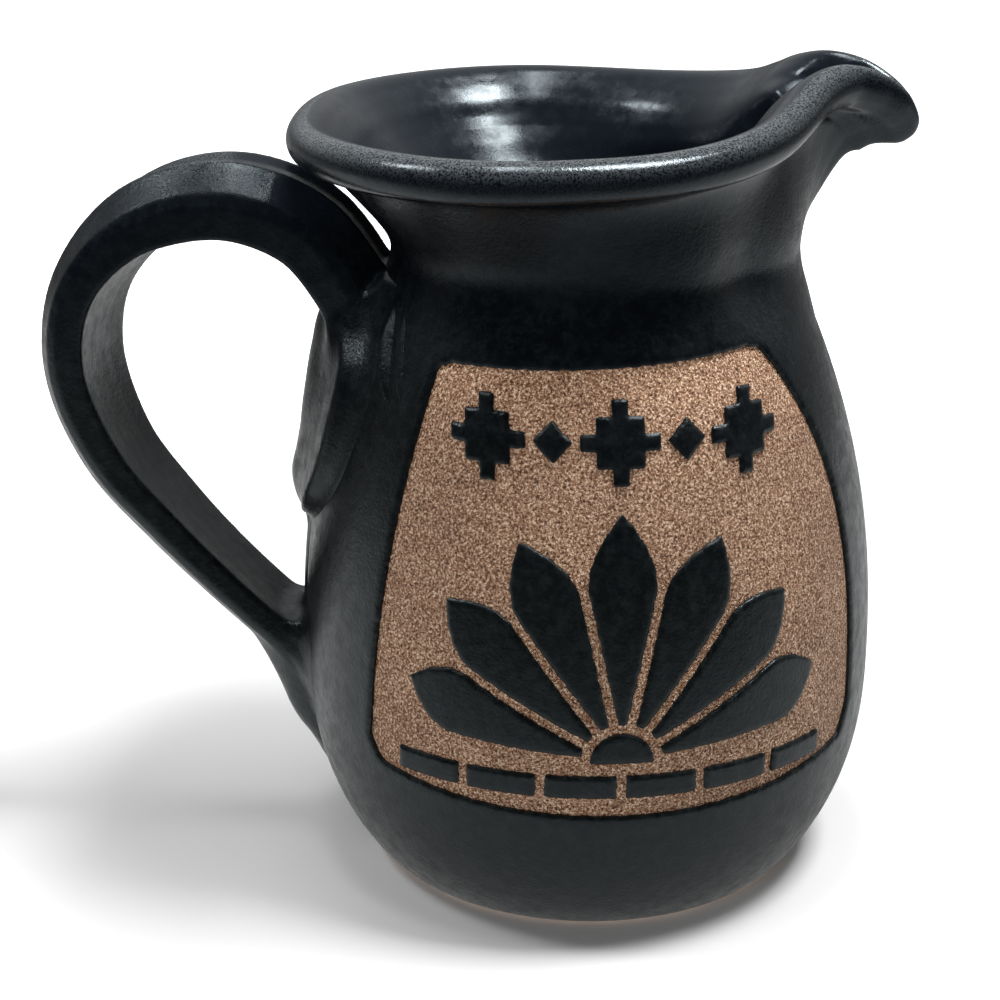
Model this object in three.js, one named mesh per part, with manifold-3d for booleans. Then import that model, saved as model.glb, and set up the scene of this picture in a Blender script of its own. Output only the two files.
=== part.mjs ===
// Stoneware pitcher with a pulled strap handle and a sandblasted picture panel, in millimetres.
// Frame: the origin is the centre of the flat foot, +Z is up, the spout points along +X,
// the handle is on -X and the panel faces -Y. Angles are measured from the spout, in degrees.
import * as THREE from "three";
import { mergeVertices } from "three/addons/utils/BufferGeometryUtils.js";
import Module from "manifold-3d";

const wasm = await Module();
wasm.setup();

// Body of the vessel, measured on the finished glazed surface
const footRadius = 46.6;
const bellyRadius = 62.5;
const bellyHeight = 46;
const neckRadius = 41.2;
const neckHeight = 137.5;
const heelFullness = 2.3; // how fast the wall swells above the foot
const heelSoftness = 0.85; // below 1 the wall leaves the foot more steeply outwards
const shoulderFullness = 2.25; // how late the shoulder turns in
const neckSoftness = 4; // rounding where the shoulder turns into the flare
const flareSoftness = 0.22; // how gently the flare starts to open, as a share of its height
const wallThickness = 5.6;
const floorThickness = 7;
const floorCorner = 5; // rounding between the floor and the inner wall

// Rolled rim
const rollHeight = 160.7; // centre of the roll, away from the spout
const rollRadius = 4.3; // radius of its section
const rollBackRadius = 58.5; // plan radius of its centre line above the handle
const rollShoulderRadius = 60.6; // widest plan radius, either side of the handle

// Pulled spout: the potter pinches the rim in on both sides and draws the middle out and down
const tipReach = 62.8; // centre line of the lip at the tip
const tipHeight = 162.6;
const lipReach = 50.4; // centre line of the side lips at their highest point
const lipHeight = 171.2;
const pinchRadius = 45.9; // where the fingers narrow the rim
const pinchHeight = 167.4;
const lipHook = 3.2; // height of the last bend outwards under the lip
const lipHang = 0.72; // share of the lip's reach that comes in that last bend
const beakSpread = 14; // how far round the wall follows the outline under the tip, in degrees
const insideFullness = 6.5; // how far the inner wall swells under the lip
const insideFade = 8; // height over which that swelling dies away under the rim
const insideLag = 3; // the inner wall bends outwards this much higher up
const throatRadius = 43.95; // how far the throat stands out at its narrowest, in the spout's plane
const throatPush = 2.8; // how far the wall beside it follows
const throatSpread = 20;
const creaseDepth = 2.2; // finger creases beside the throat
const creaseAngle = 42;
const creaseSpread = 12;
const throatBottom = 121; // height at which the throat has faded into the shoulder
const rimReach = 4.5; // how far the crest of the rim runs level before it turns down inside
const rimDrop = 12; // height over which the rim turns down into the inner wall

// Glaze
const glazeThickness = 0.7;
const glazeBed = 0.3; // the coats lie this far off the clay
const glazeLine = 1; // the outer coat stops this far above the foot
const coatSeam = 0.4; // between the outer coat and the liner, along the crest of the rim
const glazeBuild = glazeThickness + glazeBed;

// Strap handle, centre line of the strap in the plane of the spout
const handleReach = 110.8;
const handleCrown = 146.6;
const lowerJoint = 46.5;
const strapWidth = 27;
const strapWidthBelow = 24;
const strapTop = 15.5; // thickness of the strap where it leaves the shoulder
const strapBend = 10.2; // thickness at the outermost bend
const strapBelow = 9.2; // thickness at the lower joint
const channelDepth = 1.1; // groove along the outer face
const palmDepth = 0.6; // groove along the inner face
const strapTwist = 10; // the near edge stands out and the far edge in, in degrees
const twistPlace = 0.5; // share of the strap's length at which it twists most
const twistSpread = 0.17;
const seatGap = 0.3; // clay to clay, where the slip joins them

// Clay smeared from the strap onto the wall
const tongueTop = 126;
const tongueTip = 69;
const tongueHalfWidth = 13;
const tongueRise = 9;
const thumbDent = 2.6;
const tailTop = 45;
const tailTip = 9;
const tailHalfWidth = 12;
const tailRise = 9.6;

// Sandblasted panel: azimuths are measured from -Y towards the spout
const panelLeftTop = -38.8;
const panelLeftBottom = -46.8;
const panelRight = 64.2;
const panelRightTop = 46;
const panelBottom = 33.2;
const panelTopLeft = 121.5;
const panelTopRight = 124.5;
const panelSag = 3; // how far the bottom edge rises towards its ends
const sagTurn = 45; // the same, this many degrees from the middle
const panelCorner = 4; // how far the corners are cut back
const cornerTurn = 3.5; // the same, in degrees round the wall
const lowRightCut = 1.6; // the low right corner is cut back this much more
const highCut = 0.3; // and the two high ones this much
const panelCentre = 7; // azimuth of the middle of the design

// Design: a fan of leaves on a course of blocks, under a row of stepped lozenges
const fanHeight = 45.5; // root of the fan
const leafCount = 7;
const leafPitch = 24.5; // degrees between the middles of two leaves
const leafRoot = 8.5;
const leafLength = 51;
const leafShoulder = 34; // where a leaf starts to taper
const leafBow = 7; // how far beyond that its sides still pull outwards
const leafFullness = 1.35; // how far, as a share of its half width
const leafShortfall = 0.07; // the outermost leaves are shorter by about this share
const lineWidth = 2; // clay left bare between two leaves
const heartRadius = 6.5;
const blockCount = 6;
const blockLength = 14.6;
const blockTall = 5;
const blockBase = 37.6;
const lozengeHeight = 109.6;
const lozengeCount = 3;
const lozengePitch = 27;
const lozengeStep = 3.2; // size of one step
const lozengeSteps = 3; // steps from the middle to the point
const studSize = 4; // half diagonal of the small lozenges between them

const rad = THREE.MathUtils.degToRad;
const lerp = THREE.MathUtils.lerp;
const smooth = THREE.MathUtils.smoothstep;

function bump(x) {
  return Math.exp(-x * x);
}

// A smooth curve through stations [x, value], with level ends
function through(stations, x) {
  const last = stations.length - 1;
  if (x <= stations[0][0]) return stations[0][1];
  if (x >= stations[last][0]) return stations[last][1];
  const slopeAt = (k) =>
    k === 0 || k === last
      ? 0
      : (stations[k + 1][1] - stations[k - 1][1]) / (stations[k + 1][0] - stations[k - 1][0]);
  const i = stations.findIndex((station) => station[0] > x) - 1;
  const [x0, y0] = stations[i];
  const [x1, y1] = stations[i + 1];
  const h = x1 - x0;
  const t = (x - x0) / h;
  const rise = t * t * (3 - 2 * t);
  return (
    y0 + (y1 - y0) * rise + h * t * (1 - t) * ((1 - t) * slopeAt(i) - t * slopeAt(i + 1))
  );
}

// Solids

function toManifold(geometry) {
  const bare = geometry.clone();
  bare.deleteAttribute("normal");
  bare.deleteAttribute("uv");
  const merged = mergeVertices(bare, 1e-4);
  return new wasm.Manifold(
    new wasm.Mesh({
      numProp: 3,
      vertProperties: new Float32Array(merged.attributes.position.array),
      triVerts: new Uint32Array(merged.index.array),
    }),
  );
}

function toGeometry(solid) {
  const mesh = solid.getMesh();
  const geometry = new THREE.BufferGeometry();
  geometry.setAttribute("position", new THREE.BufferAttribute(mesh.vertProperties, 3));
  geometry.setIndex(new THREE.BufferAttribute(mesh.triVerts, 1));
  geometry.computeVertexNormals();
  return geometry;
}

// A closed skin over rings of points. Rings from the turning row on come back along the first ones,
// and their faces are split along the same diagonals, so that two layers never cross.
function ringGeometry(rows, joined, turning = rows.length) {
  const count = rows[0].length;
  const index = [];
  const steps = joined ? rows.length : rows.length - 1;
  for (let r = 0; r < steps; r++) {
    for (let c = 0; c < count; c++) {
      const next = (r + 1) % rows.length;
      const across = (c + 1) % count;
      const [a, b] = [r * count + c, r * count + across];
      const [d, e] = [next * count + c, next * count + across];
      if (r < turning) index.push(a, b, e, a, e, d);
      else index.push(a, b, d, b, e, d);
    }
  }
  const geometry = new THREE.BufferGeometry();
  geometry.setAttribute("position", new THREE.Float32BufferAttribute(rows.flat(2), 3));
  geometry.setIndex(index);
  const merged = mergeVertices(geometry, 1e-5);
  const corners = Array.from(merged.index.array);
  const kept = [];
  for (let i = 0; i < corners.length; i += 3) {
    const [a, b, c] = corners.slice(i, i + 3);
    if (a !== b && b !== c && c !== a) kept.push(a, b, c);
  }
  merged.setIndex(kept);
  return merged;
}

// Profile of the vessel

const jointAngle = 125; // the wall meets the roll this far round its section from the outside
const jointRadius = rollBackRadius + rollRadius * Math.cos(rad(jointAngle));
const jointHeight = rollHeight - rollRadius * Math.sin(rad(jointAngle));
const crestHeight = rollHeight + rollRadius;

function outerRadius(z) {
  if (z < bellyHeight) {
    const swell = 1 - (1 - z / bellyHeight) ** heelFullness;
    return footRadius + (bellyRadius - footRadius) * swell ** heelSoftness;
  }
  const waist = neckRadius - neckSoftness / 2;
  const u = (z - bellyHeight) / (neckHeight - bellyHeight);
  const shoulder = bellyRadius - (bellyRadius - waist) * u ** shoulderFullness;
  const v = (z - neckHeight) / (jointHeight - neckHeight);
  const opened = (v + Math.hypot(v, flareSoftness)) / (1 + Math.hypot(1, flareSoftness));
  const flare = waist + (jointRadius - waist) * opened;
  return (shoulder + flare + Math.hypot(shoulder - flare, neckSoftness * Math.min(u, 1))) / 2;
}

function slopeOf(radiusAt, z) {
  return radiusAt(z + 0.5) - radiusAt(z - 0.5);
}

function innerRadius(z) {
  return outerRadius(z) - wallThickness * Math.hypot(1, slopeOf(outerRadius, z));
}

function heights(from, to, count) {
  return Array.from({ length: count }, (_, i) => lerp(from, to, i / count));
}

// Points of the profile as [radius, height, height on the finished surface, station]. The depth is
// how far a layer lies under the finished surface, and the last two values make all layers follow
// the spout. The station goes up the wall and on round the roll, and is 0 on the inside.

function outerPoint(z, depth) {
  const slope = slopeOf(outerRadius, z);
  const n = 1 / Math.hypot(1, slope);
  return [outerRadius(z) - depth * n, z + depth * slope * n, z, z];
}

function innerPoint(z, depth) {
  const slope = slopeOf(innerRadius, z);
  const n = 1 / Math.hypot(1, slope);
  return [innerRadius(z) + depth * n, z - depth * slope * n, z, 0];
}

function rollPoint(degrees, depth) {
  const [c, s] = [Math.cos(rad(degrees)), Math.sin(rad(degrees))];
  const radius = rollRadius - depth;
  const station = jointHeight + rollRadius * rad(degrees + jointAngle);
  return [rollBackRadius + radius * c, rollHeight + radius * s, rollHeight + rollRadius * s, station];
}

// From the crest of the rim down to the inner wall
const rimFoot = crestHeight - rimDrop;
const rimTurn = new THREE.CubicBezierCurve(
  new THREE.Vector2(rollBackRadius, crestHeight),
  new THREE.Vector2(rollBackRadius - rimReach, crestHeight),
  new THREE.Vector2(slopeOf(innerRadius, rimFoot), 1)
    .setLength(rimReach)
    .add(new THREE.Vector2(innerRadius(rimFoot), rimFoot)),
  new THREE.Vector2(innerRadius(rimFoot), rimFoot),
);

function rimPoint(t, depth) {
  const spot = rimTurn.getPoint(t);
  const along = rimTurn.getTangent(t);
  return [spot.x - depth * along.y, spot.y + depth * along.x, spot.y, 0];
}

const crest = 90;
const seamTurn = THREE.MathUtils.radToDeg(coatSeam / rollRadius / 2);
const rimStart = coatSeam / 2 / (3 * rimReach);

// From the glaze line up the outside to the crest of the rim
function outsideProfile(depth) {
  const wall = [
    ...heights(glazeLine, bellyHeight, 4),
    ...heights(bellyHeight, neckHeight - 12, 5),
    ...heights(neckHeight - 12, jointHeight, 5),
  ];
  const roll = [-jointAngle, -100, -70, -35, 0, 35, 65, crest - seamTurn];
  return [...wall.map((z) => outerPoint(z, depth)), ...roll.map((a) => rollPoint(a, depth))];
}

// From the crest down the inside and over the floor to the axis
function insideProfile(depth) {
  const turn = [rimStart, 0.25, 0.5, 0.75];
  const lean = Math.atan(slopeOf(innerRadius, floorThickness + floorCorner));
  const low = floorThickness + floorCorner * (1 - Math.sin(lean));
  const wall = [
    ...heights(rimFoot, neckHeight - 6, 4),
    ...heights(neckHeight - 6, bellyHeight, 5),
    ...heights(bellyHeight, low, 2),
    low,
  ];
  const centre = innerRadius(low) - floorCorner * Math.cos(lean);
  const corner = [0.5, 1].map((t) => {
    const angle = lerp(-lean, -Math.PI / 2, t);
    const radius = floorCorner + depth;
    return [centre + radius * Math.cos(angle), floorThickness + floorCorner + radius * Math.sin(angle)];
  });
  return [
    ...turn.map((t) => rimPoint(t, depth)),
    ...wall.map((z) => innerPoint(z, depth)),
    ...corner.map(([r, z]) => [r, z, floorThickness, 0]),
    [0, floorThickness - depth, floorThickness, 0],
  ];
}

// Plan and height of the roll's centre line, by angle from the spout
const rimPlan = [
  [0, tipReach],
  [3, tipReach - 2.2],
  [6.5, lipReach + 5.2],
  [11, lipReach],
  [19, pinchRadius + 0.9],
  [28, pinchRadius],
  [40, pinchRadius + 0.5],
  [55, pinchRadius + 1.9],
  [72, pinchRadius + 4.2],
  [90, rollShoulderRadius - 6.9],
  [107, rollShoulderRadius - 2],
  [125, rollShoulderRadius],
  [150, rollShoulderRadius],
  [180, rollBackRadius],
];
const rimRise = [
  [0, tipHeight],
  [3, tipHeight + 3.9],
  [6.5, lipHeight - 1.2],
  [11, lipHeight],
  [19, pinchHeight + 2.5],
  [28, pinchHeight],
  [40, lerp(rollHeight, pinchHeight, 0.55)],
  [55, lerp(rollHeight, pinchHeight, 0.24)],
  [72, lerp(rollHeight, pinchHeight, 0.05)],
  [90, rollHeight],
  [180, rollHeight],
];

// Outline of the spout in its own plane, from the throat to the underside of the tip. Each station
// is a share of the way up to the joint, followed by its shares of the way out and of the way up.
const underside = tipHeight - rollRadius;
const spoutLine = [
  [0, (outerRadius(throatBottom) - throatRadius) / (tipReach - throatRadius), 0],
  [0.18, 0.109, 0.178],
  [0.33, 0.024, 0.327],
  [0.47, 0, 0.466],
  [0.61, 0.066, 0.606],
  [0.75, 0.204, 0.742],
  [0.86, 0.332, 0.853],
  [0.94, 0.459, 0.938],
  [1, 0.607, 0.979],
  [1.06, 0.82, 0.992],
  [1.12, 1.042, 0.997],
  [1.18, 1.18, 1.043],
].map(([share, out, up]) => [
  lerp(throatBottom, jointHeight, share),
  lerp(throatRadius, tipReach, out),
  lerp(throatBottom, underside, up),
]);
const spoutOut = spoutLine.map(([station, out]) => [station, out]);
const spoutUp = spoutLine.map(([station, , up]) => [station, up]);
const spoutEnd = spoutLine.at(-1)[0];

// Where a point of the round profile goes when the rim is pinched and the lip drawn out
function drawnOut(r, z, finished, turn, lag) {
  const grown = smooth(finished, neckHeight, jointHeight);
  const hook = smooth(finished - lag, jointHeight - lipHook, jointHeight);
  const drawn = lerp(grown, hook, lipHang);
  const plan = through(rimPlan, turn) - rollBackRadius;
  const pinchOnly = through(rimPlan.slice(4), turn) - rollBackRadius;
  const throat = throatPush * bump(turn / throatSpread);
  const crease = creaseDepth * bump((turn - creaseAngle) / creaseSpread);
  const neck = smooth(finished, throatBottom, neckHeight) * (1 - grown);
  return [
    r + grown * pinchOnly + drawn * (plan - pinchOnly) + neck * (throat - crease),
    z + grown * (through(rimRise, turn) - rollHeight),
  ];
}

// What the outline of the spout asks for beyond that, at a station in its plane
function beakShift(station, finished) {
  const round = station < jointHeight
    ? outerPoint(station, 0)
    : rollPoint(THREE.MathUtils.radToDeg((station - jointHeight) / rollRadius) - jointAngle, 0);
  const [radius, height] = drawnOut(round[0], round[1], finished, 0, 0);
  return [through(spoutOut, station) - radius, through(spoutUp, station) - height];
}

// Where a point of the round profile goes when the spout is pulled
function pulled(r, z, finished, station, angle) {
  if (r === 0) return [0, 0, z];
  const turn = Math.abs(angle);
  const inside = station === 0;
  let [radius, height] = drawnOut(r, z, finished, turn, inside ? insideLag : 0);
  const near = bump(turn / beakSpread);
  if (inside) {
    const grown = smooth(finished, neckHeight, jointHeight);
    radius += insideFullness * near * grown * (1 - smooth(finished, jointHeight - insideFade, jointHeight));
  } else if (station > throatBottom && station < spoutEnd) {
    const [out, up] = beakShift(station, finished);
    radius += near * out;
    height += near * up;
  }
  return [radius * Math.cos(rad(angle)), radius * Math.sin(rad(angle)), height];
}

// Columns of the vessel: close together at the spout
const halfTurn = [0, 3, 6.5, 11, 15, 20, 26, 33, 41, ...heights(50, 180, 13)];
const columns = [...halfTurn, 180, ...halfTurn.slice(1).reverse().map((a) => -a)];

function turned(profile) {
  return profile.map((point) => columns.map((angle) => pulled(...point, angle)));
}

// A coat lies between the finished surface and the bed on the clay
function coat(profileAt) {
  const finished = turned(profileAt(0));
  const under = turned(profileAt(glazeThickness)).reverse();
  return ringGeometry([...finished, ...under], true, finished.length);
}

function footRing(outward) {
  return [
    [0, 0, 0, 0],
    [outerRadius(0) - glazeBuild + outward, 0, 0, 0],
  ];
}

// Thrown clay: the finished profile sunk by the glaze, standing on a flat foot
function vesselClay() {
  const profile = [...footRing(0), ...outsideProfile(glazeBuild), ...insideProfile(glazeBuild)];
  return ringGeometry(turned(profile), false);
}

// Room that the vessel takes up, filled in and closed at the rim, for cutting what is stuck on it
function vesselPlug(outward) {
  const outside = outsideProfile(glazeBuild - outward);
  const top = outside.at(-1)[1];
  return ringGeometry(turned([...footRing(outward), ...outside, [0, top, top, 0]]), false);
}

// Handle

const handlePath = new THREE.CatmullRomCurve3(
  [
    [0.35, 0.6],
    [0.415, 0.73],
    [0.455, 0.83],
    [0.54, 0.945],
    [0.69, 1],
    [0.858, 0.95],
    [0.972, 0.808],
    [1, 0.63],
    [0.943, 0.43],
    [0.835, 0.27],
    [0.722, 0.132],
    [0.6, 0],
    [0.5, -0.1],
  ].map(([out, up]) => new THREE.Vector3(-out * handleReach, 0, lerp(lowerJoint, handleCrown, up))),
  false,
  "centripetal",
);
const strapThickness = [
  [0, strapTop],
  [0.32, strapTop],
  [0.46, strapBend + 0.6],
  [0.62, strapBend],
  [0.85, strapBelow],
  [1, strapBelow],
];
const strapRings = 24;

// Outline of the strap across its width: [across, outward], a groove along each face
function strapSection(width, thickness, inset) {
  const w = width / 2 - inset;
  const t = thickness / 2 - inset;
  const half = [
    [0, t - channelDepth],
    [0.72 * w, t],
    [0.95 * w, 0.45 * t],
    [w, -0.2 * t],
    [0.78 * w, -t],
    [0, -t + palmDepth],
  ];
  return [...half, ...half.slice(1, -1).reverse().map(([across, out]) => [-across, out])];
}

function strap(inset) {
  const rows = Array.from({ length: strapRings + 1 }, (_, i) => {
    const s = i / strapRings;
    const centre = handlePath.getPointAt(s);
    const along = handlePath.getTangentAt(s);
    const outward = new THREE.Vector3(along.z, 0, -along.x);
    const section = strapSection(
      lerp(strapWidth, strapWidthBelow, smooth(s, 0.5, 0.9)),
      through(strapThickness, s),
      inset,
    );
    const twist = rad(strapTwist * bump((s - twistPlace) / twistSpread));
    return section.map(([across, out]) => {
      const lift = out * Math.cos(twist) - across * Math.sin(twist);
      const aside = across * Math.cos(twist) + out * Math.sin(twist);
      return [centre.x + lift * outward.x, aside, centre.z + lift * outward.z];
    });
  });
  return capped(rows);
}

// Closes a tube of rings with a flat cap at each end
function capped(rows) {
  const middle = (row) => {
    const sum = row.reduce((a, p) => [a[0] + p[0], a[1] + p[1], a[2] + p[2]], [0, 0, 0]);
    const centre = sum.map((v) => v / row.length);
    return row.map(() => centre);
  };
  return ringGeometry([middle(rows[0]), ...rows, middle(rows.at(-1))], false);
}

// Clay smeared from the strap down the wall: a tapering pad, dented along its middle
function smear({ top, tip, halfWidth, rise, dent, start, late }, inset) {
  const across = [-1, -0.75, -0.4, 0, 0.4, 0.75, 1];
  const rows = heights(0, 1, 7).map((v) => {
    const z = lerp(top - inset, tip + inset, v);
    const half = (halfWidth - inset) * Math.sqrt(1 - v * v);
    const height = rise * (1 - v ** late) * lerp(start, 1, smooth(v, 0, 0.35));
    const front = across.map((a) => {
      const swell = (1 - a ** 4) * height - dent * Math.sin(Math.PI * v) * (1 - a * a) ** 2;
      const y = a * half;
      return [-Math.sqrt(outerRadius(z) ** 2 - y * y) - swell + inset, y, z];
    });
    const back = across
      .slice(1, -1)
      .reverse()
      .map((a) => [-Math.sqrt(outerRadius(z) ** 2 - (a * half) ** 2) + wallThickness, a * half, z]);
    return [...front, ...back];
  });
  return capped(rows);
}

const tongue = {
  top: tongueTop,
  tip: tongueTip,
  halfWidth: tongueHalfWidth,
  rise: tongueRise,
  dent: thumbDent,
  start: 0.6,
  late: 4,
};
const tail = {
  top: tailTop,
  tip: tailTip,
  halfWidth: tailHalfWidth,
  rise: tailRise,
  dent: 0,
  start: 1,
  late: 1.2,
};

function handleSolid(inset) {
  return toManifold(strap(inset))
    .add(toManifold(smear(tongue, inset)))
    .add(toManifold(smear(tail, inset)));
}

// Panel and its design

// A prism that points at the axis: the shape's x becomes an azimuth by toAzimuth(x, z)
function radialPrism(shape, toAzimuth) {
  const near = neckRadius - glazeBuild;
  const far = bellyRadius + 2 * glazeBuild + 4;
  const prism = new THREE.ExtrudeGeometry(shape, { depth: 1, bevelEnabled: false, curveSegments: 6 });
  const spot = prism.attributes.position;
  for (let i = 0; i < spot.count; i++) {
    const z = spot.getY(i);
    const azimuth = rad(toAzimuth(spot.getX(i), z));
    const r = lerp(near, far, spot.getZ(i));
    spot.setXYZ(i, r * Math.sin(azimuth), -r * Math.cos(azimuth), z);
  }
  return toManifold(prism);
}

function panelLeft(z) {
  return lerp(panelLeftBottom, panelLeftTop, (z - panelBottom) / (panelTopLeft - panelBottom));
}

function panelRightAt(z) {
  const up = Math.max(0, (z - bellyHeight) / (panelTopRight - bellyHeight));
  return panelRight - (panelRight - panelRightTop) * up ** 4;
}

// Share of the way from the left to the right edge, with how far the corners are cut back there
function panelEnds(u) {
  const foot = lerp(panelLeftBottom, panelRight, u);
  const head = lerp(panelLeftTop, panelRightTop, u);
  const cut = (edge, a) => Math.max(0, 1 - Math.abs(a - edge) / cornerTurn);
  const low = cut(panelLeftBottom, foot) + lowRightCut * cut(panelRight, foot);
  const high = highCut * (cut(panelLeftTop, head) + cut(panelRightTop, head));
  return [
    panelBottom + panelSag * ((foot - panelCentre) / sagTurn) ** 2 + panelCorner * low,
    lerp(panelTopLeft, panelTopRight, u) - panelCorner * high,
  ];
}

// The window in the outer coat, cut in upright strips that follow the wall round
function panelWindow() {
  const at = (u, v) => {
    const z = lerp(...panelEnds(u), v);
    return new THREE.Vector2(lerp(panelLeft(z), panelRightAt(z), u), z);
  };
  const edges = [0, 0.035, 0.2, 0.4, 0.6, 0.8, 0.955, 1];
  const lap = 0.01; // neighbouring strips overlap by this share
  const strips = edges.slice(1).map((end, k) => {
    const left = Math.max(0, edges[k] - lap);
    const right = Math.min(1, end + lap);
    const points = [
      ...heights(0, 1, 2).map((t) => at(lerp(left, right, t), 0)),
      ...heights(0, 1, 7).map((v) => at(right, v)),
      ...heights(0, 1, 2).map((t) => at(lerp(right, left, t), 1)),
      ...heights(1, 0, 7).map((v) => at(left, v)),
    ];
    return radialPrism(new THREE.Shape(points), (x) => x);
  });
  return strips.reduce((whole, strip) => whole.add(strip));
}

// Lengths in the design are true along the wall
function designAzimuth(x, z) {
  return panelCentre + THREE.MathUtils.radToDeg(x / outerRadius(z));
}

function leaf(k) {
  const lean = rad((k - (leafCount - 1) / 2) * leafPitch);
  const half = (reach) => reach * Math.tan(rad(leafPitch / 2)) - lineWidth / 2;
  const tip = leafLength * (1 - leafShortfall * Math.abs(Math.sin(lean)));
  const at = (side, reach) => new THREE.Vector2(
    reach * Math.sin(lean) + side * Math.cos(lean),
    fanHeight + reach * Math.cos(lean) - side * Math.sin(lean),
  );
  const shape = new THREE.Shape();
  const start = at(half(leafRoot), leafRoot);
  const wide = half(leafShoulder);
  shape.moveTo(start.x, start.y);
  const flank = (side, t) => at(side * lerp(half(leafRoot), wide, t), lerp(leafRoot, leafShoulder, t));
  const point = at(0, tip);
  const left = at(-wide, leafShoulder);
  const pull = (side) => at(side * wide * leafFullness, leafShoulder + leafBow);
  const [pullRight, pullLeft] = [pull(1), pull(-1)];
  for (const t of [1 / 3, 2 / 3, 1]) shape.lineTo(...flank(1, t).toArray());
  shape.quadraticCurveTo(pullRight.x, pullRight.y, point.x, point.y);
  shape.quadraticCurveTo(pullLeft.x, pullLeft.y, left.x, left.y);
  for (const t of [2 / 3, 1 / 3, 0]) shape.lineTo(...flank(-1, t).toArray());
  shape.closePath();
  return shape;
}

function heart() {
  const shape = new THREE.Shape();
  shape.moveTo(heartRadius, fanHeight);
  shape.absarc(0, fanHeight, heartRadius, 0, Math.PI, false);
  shape.closePath();
  return shape;
}

function block(k) {
  const x = (k - (blockCount - 1) / 2) * (blockLength + lineWidth);
  const [l, r, b, t] = [x - blockLength / 2, x + blockLength / 2, blockBase, blockBase + blockTall];
  return new THREE.Shape([[l, b], [r, b], [r, t], [l, t]].map(([px, pz]) => new THREE.Vector2(px, pz)));
}

// A lozenge whose sides climb in square steps
function lozenge(k) {
  const x = (k - (lozengeCount - 1) / 2) * lozengePitch;
  const side = [];
  for (let i = 0; i < lozengeSteps; i++) {
    const out = (lozengeSteps - i - 0.5) * lozengeStep;
    const up = (i + 0.5) * lozengeStep;
    if (i > 0) side.push([out, up - lozengeStep]);
    side.push([out, up]);
  }
  const upper = [...side, ...side.map(([a, b]) => [-a, b]).reverse()];
  const lower = upper.map(([a, b]) => [-a, -b]);
  const points = [...upper, ...lower];
  return new THREE.Shape(points.map(([a, b]) => new THREE.Vector2(x + a, lozengeHeight + b)));
}

function stud(k) {
  const x = (k - (lozengeCount - 2) / 2) * lozengePitch;
  const corners = [[studSize, 0], [0, studSize], [-studSize, 0], [0, -studSize]];
  return new THREE.Shape(corners.map(([a, b]) => new THREE.Vector2(x + a, lozengeHeight + b)));
}

// Assembly

const blackGlaze = new THREE.MeshStandardMaterial({ color: 0x1c2224, roughness: 0.5, metalness: 0 });
const satinLiner = new THREE.MeshStandardMaterial({ color: 0x171c22, roughness: 0.35, metalness: 0 });
const brownClay = new THREE.MeshStandardMaterial({ color: 0x86644b, roughness: 0.9, metalness: 0 });

const pitcher = new THREE.Group();

function addPiece(name, geometry, material) {
  const mesh = new THREE.Mesh(geometry, material);
  mesh.name = name;
  pitcher.add(mesh);
}

const wallCoat = toManifold(coat(outsideProfile));
const seat = toManifold(vesselPlug(seatGap));
const wallWindowed = wallCoat.subtract(panelWindow()).subtract(handleSolid(-seatGap));
const strapClay = handleSolid(glazeBuild).subtract(seat);
const strapCoat = handleSolid(0).subtract(handleSolid(glazeThickness)).subtract(seat);

addPiece("vessel_clay", vesselClay(), brownClay);
addPiece("handle_clay", toGeometry(strapClay), brownClay);
addPiece("liner_glaze", coat(insideProfile), satinLiner);
addPiece("outer_glaze", toGeometry(wallWindowed), blackGlaze);
addPiece("handle_glaze", toGeometry(strapCoat), blackGlaze);

function addRaised(name, shape) {
  addPiece(name, toGeometry(wallCoat.intersect(radialPrism(shape, designAzimuth))), blackGlaze);
}

for (let k = 0; k < leafCount; k++) addRaised(`leaf_${k + 1}`, leaf(k));
addRaised("fan_heart", heart());
for (let k = 0; k < blockCount; k++) addRaised(`block_${k + 1}`, block(k));
for (let k = 0; k < lozengeCount; k++) addRaised(`lozenge_${k + 1}`, lozenge(k));
for (let k = 0; k < lozengeCount - 1; k++) addRaised(`stud_${k + 1}`, stud(k));

export default pitcher;
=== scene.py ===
"""Black-glazed stoneware pitcher with a strap handle and a sandblasted panel.

Frame: the origin is the centre of the foot, +Z is up, the spout points along +X, the handle is on
-X and the panel faces -Y. Shapes are worked out in millimetres and written in metres.
Angles are measured from the spout, in degrees; azimuths are measured from -Y towards the spout.
"""

import math

import bmesh
import bpy
import numpy as np
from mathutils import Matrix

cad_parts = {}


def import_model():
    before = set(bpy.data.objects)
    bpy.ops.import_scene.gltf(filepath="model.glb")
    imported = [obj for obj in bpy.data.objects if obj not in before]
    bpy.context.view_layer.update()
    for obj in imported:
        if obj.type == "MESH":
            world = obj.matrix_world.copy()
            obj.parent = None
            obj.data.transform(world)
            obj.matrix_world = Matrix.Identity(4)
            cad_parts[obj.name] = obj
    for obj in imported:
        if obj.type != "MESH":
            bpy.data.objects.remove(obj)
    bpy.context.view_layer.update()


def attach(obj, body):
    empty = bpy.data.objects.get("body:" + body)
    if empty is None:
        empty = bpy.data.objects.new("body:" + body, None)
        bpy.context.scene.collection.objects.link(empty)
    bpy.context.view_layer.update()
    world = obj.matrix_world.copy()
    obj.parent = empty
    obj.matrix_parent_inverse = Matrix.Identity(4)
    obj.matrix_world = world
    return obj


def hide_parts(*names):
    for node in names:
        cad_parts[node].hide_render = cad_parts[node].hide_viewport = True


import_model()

import openvdb
from mathutils import Matrix, Vector
from mathutils.geometry import delaunay_2d_cdt

MM = 0.001

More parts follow.
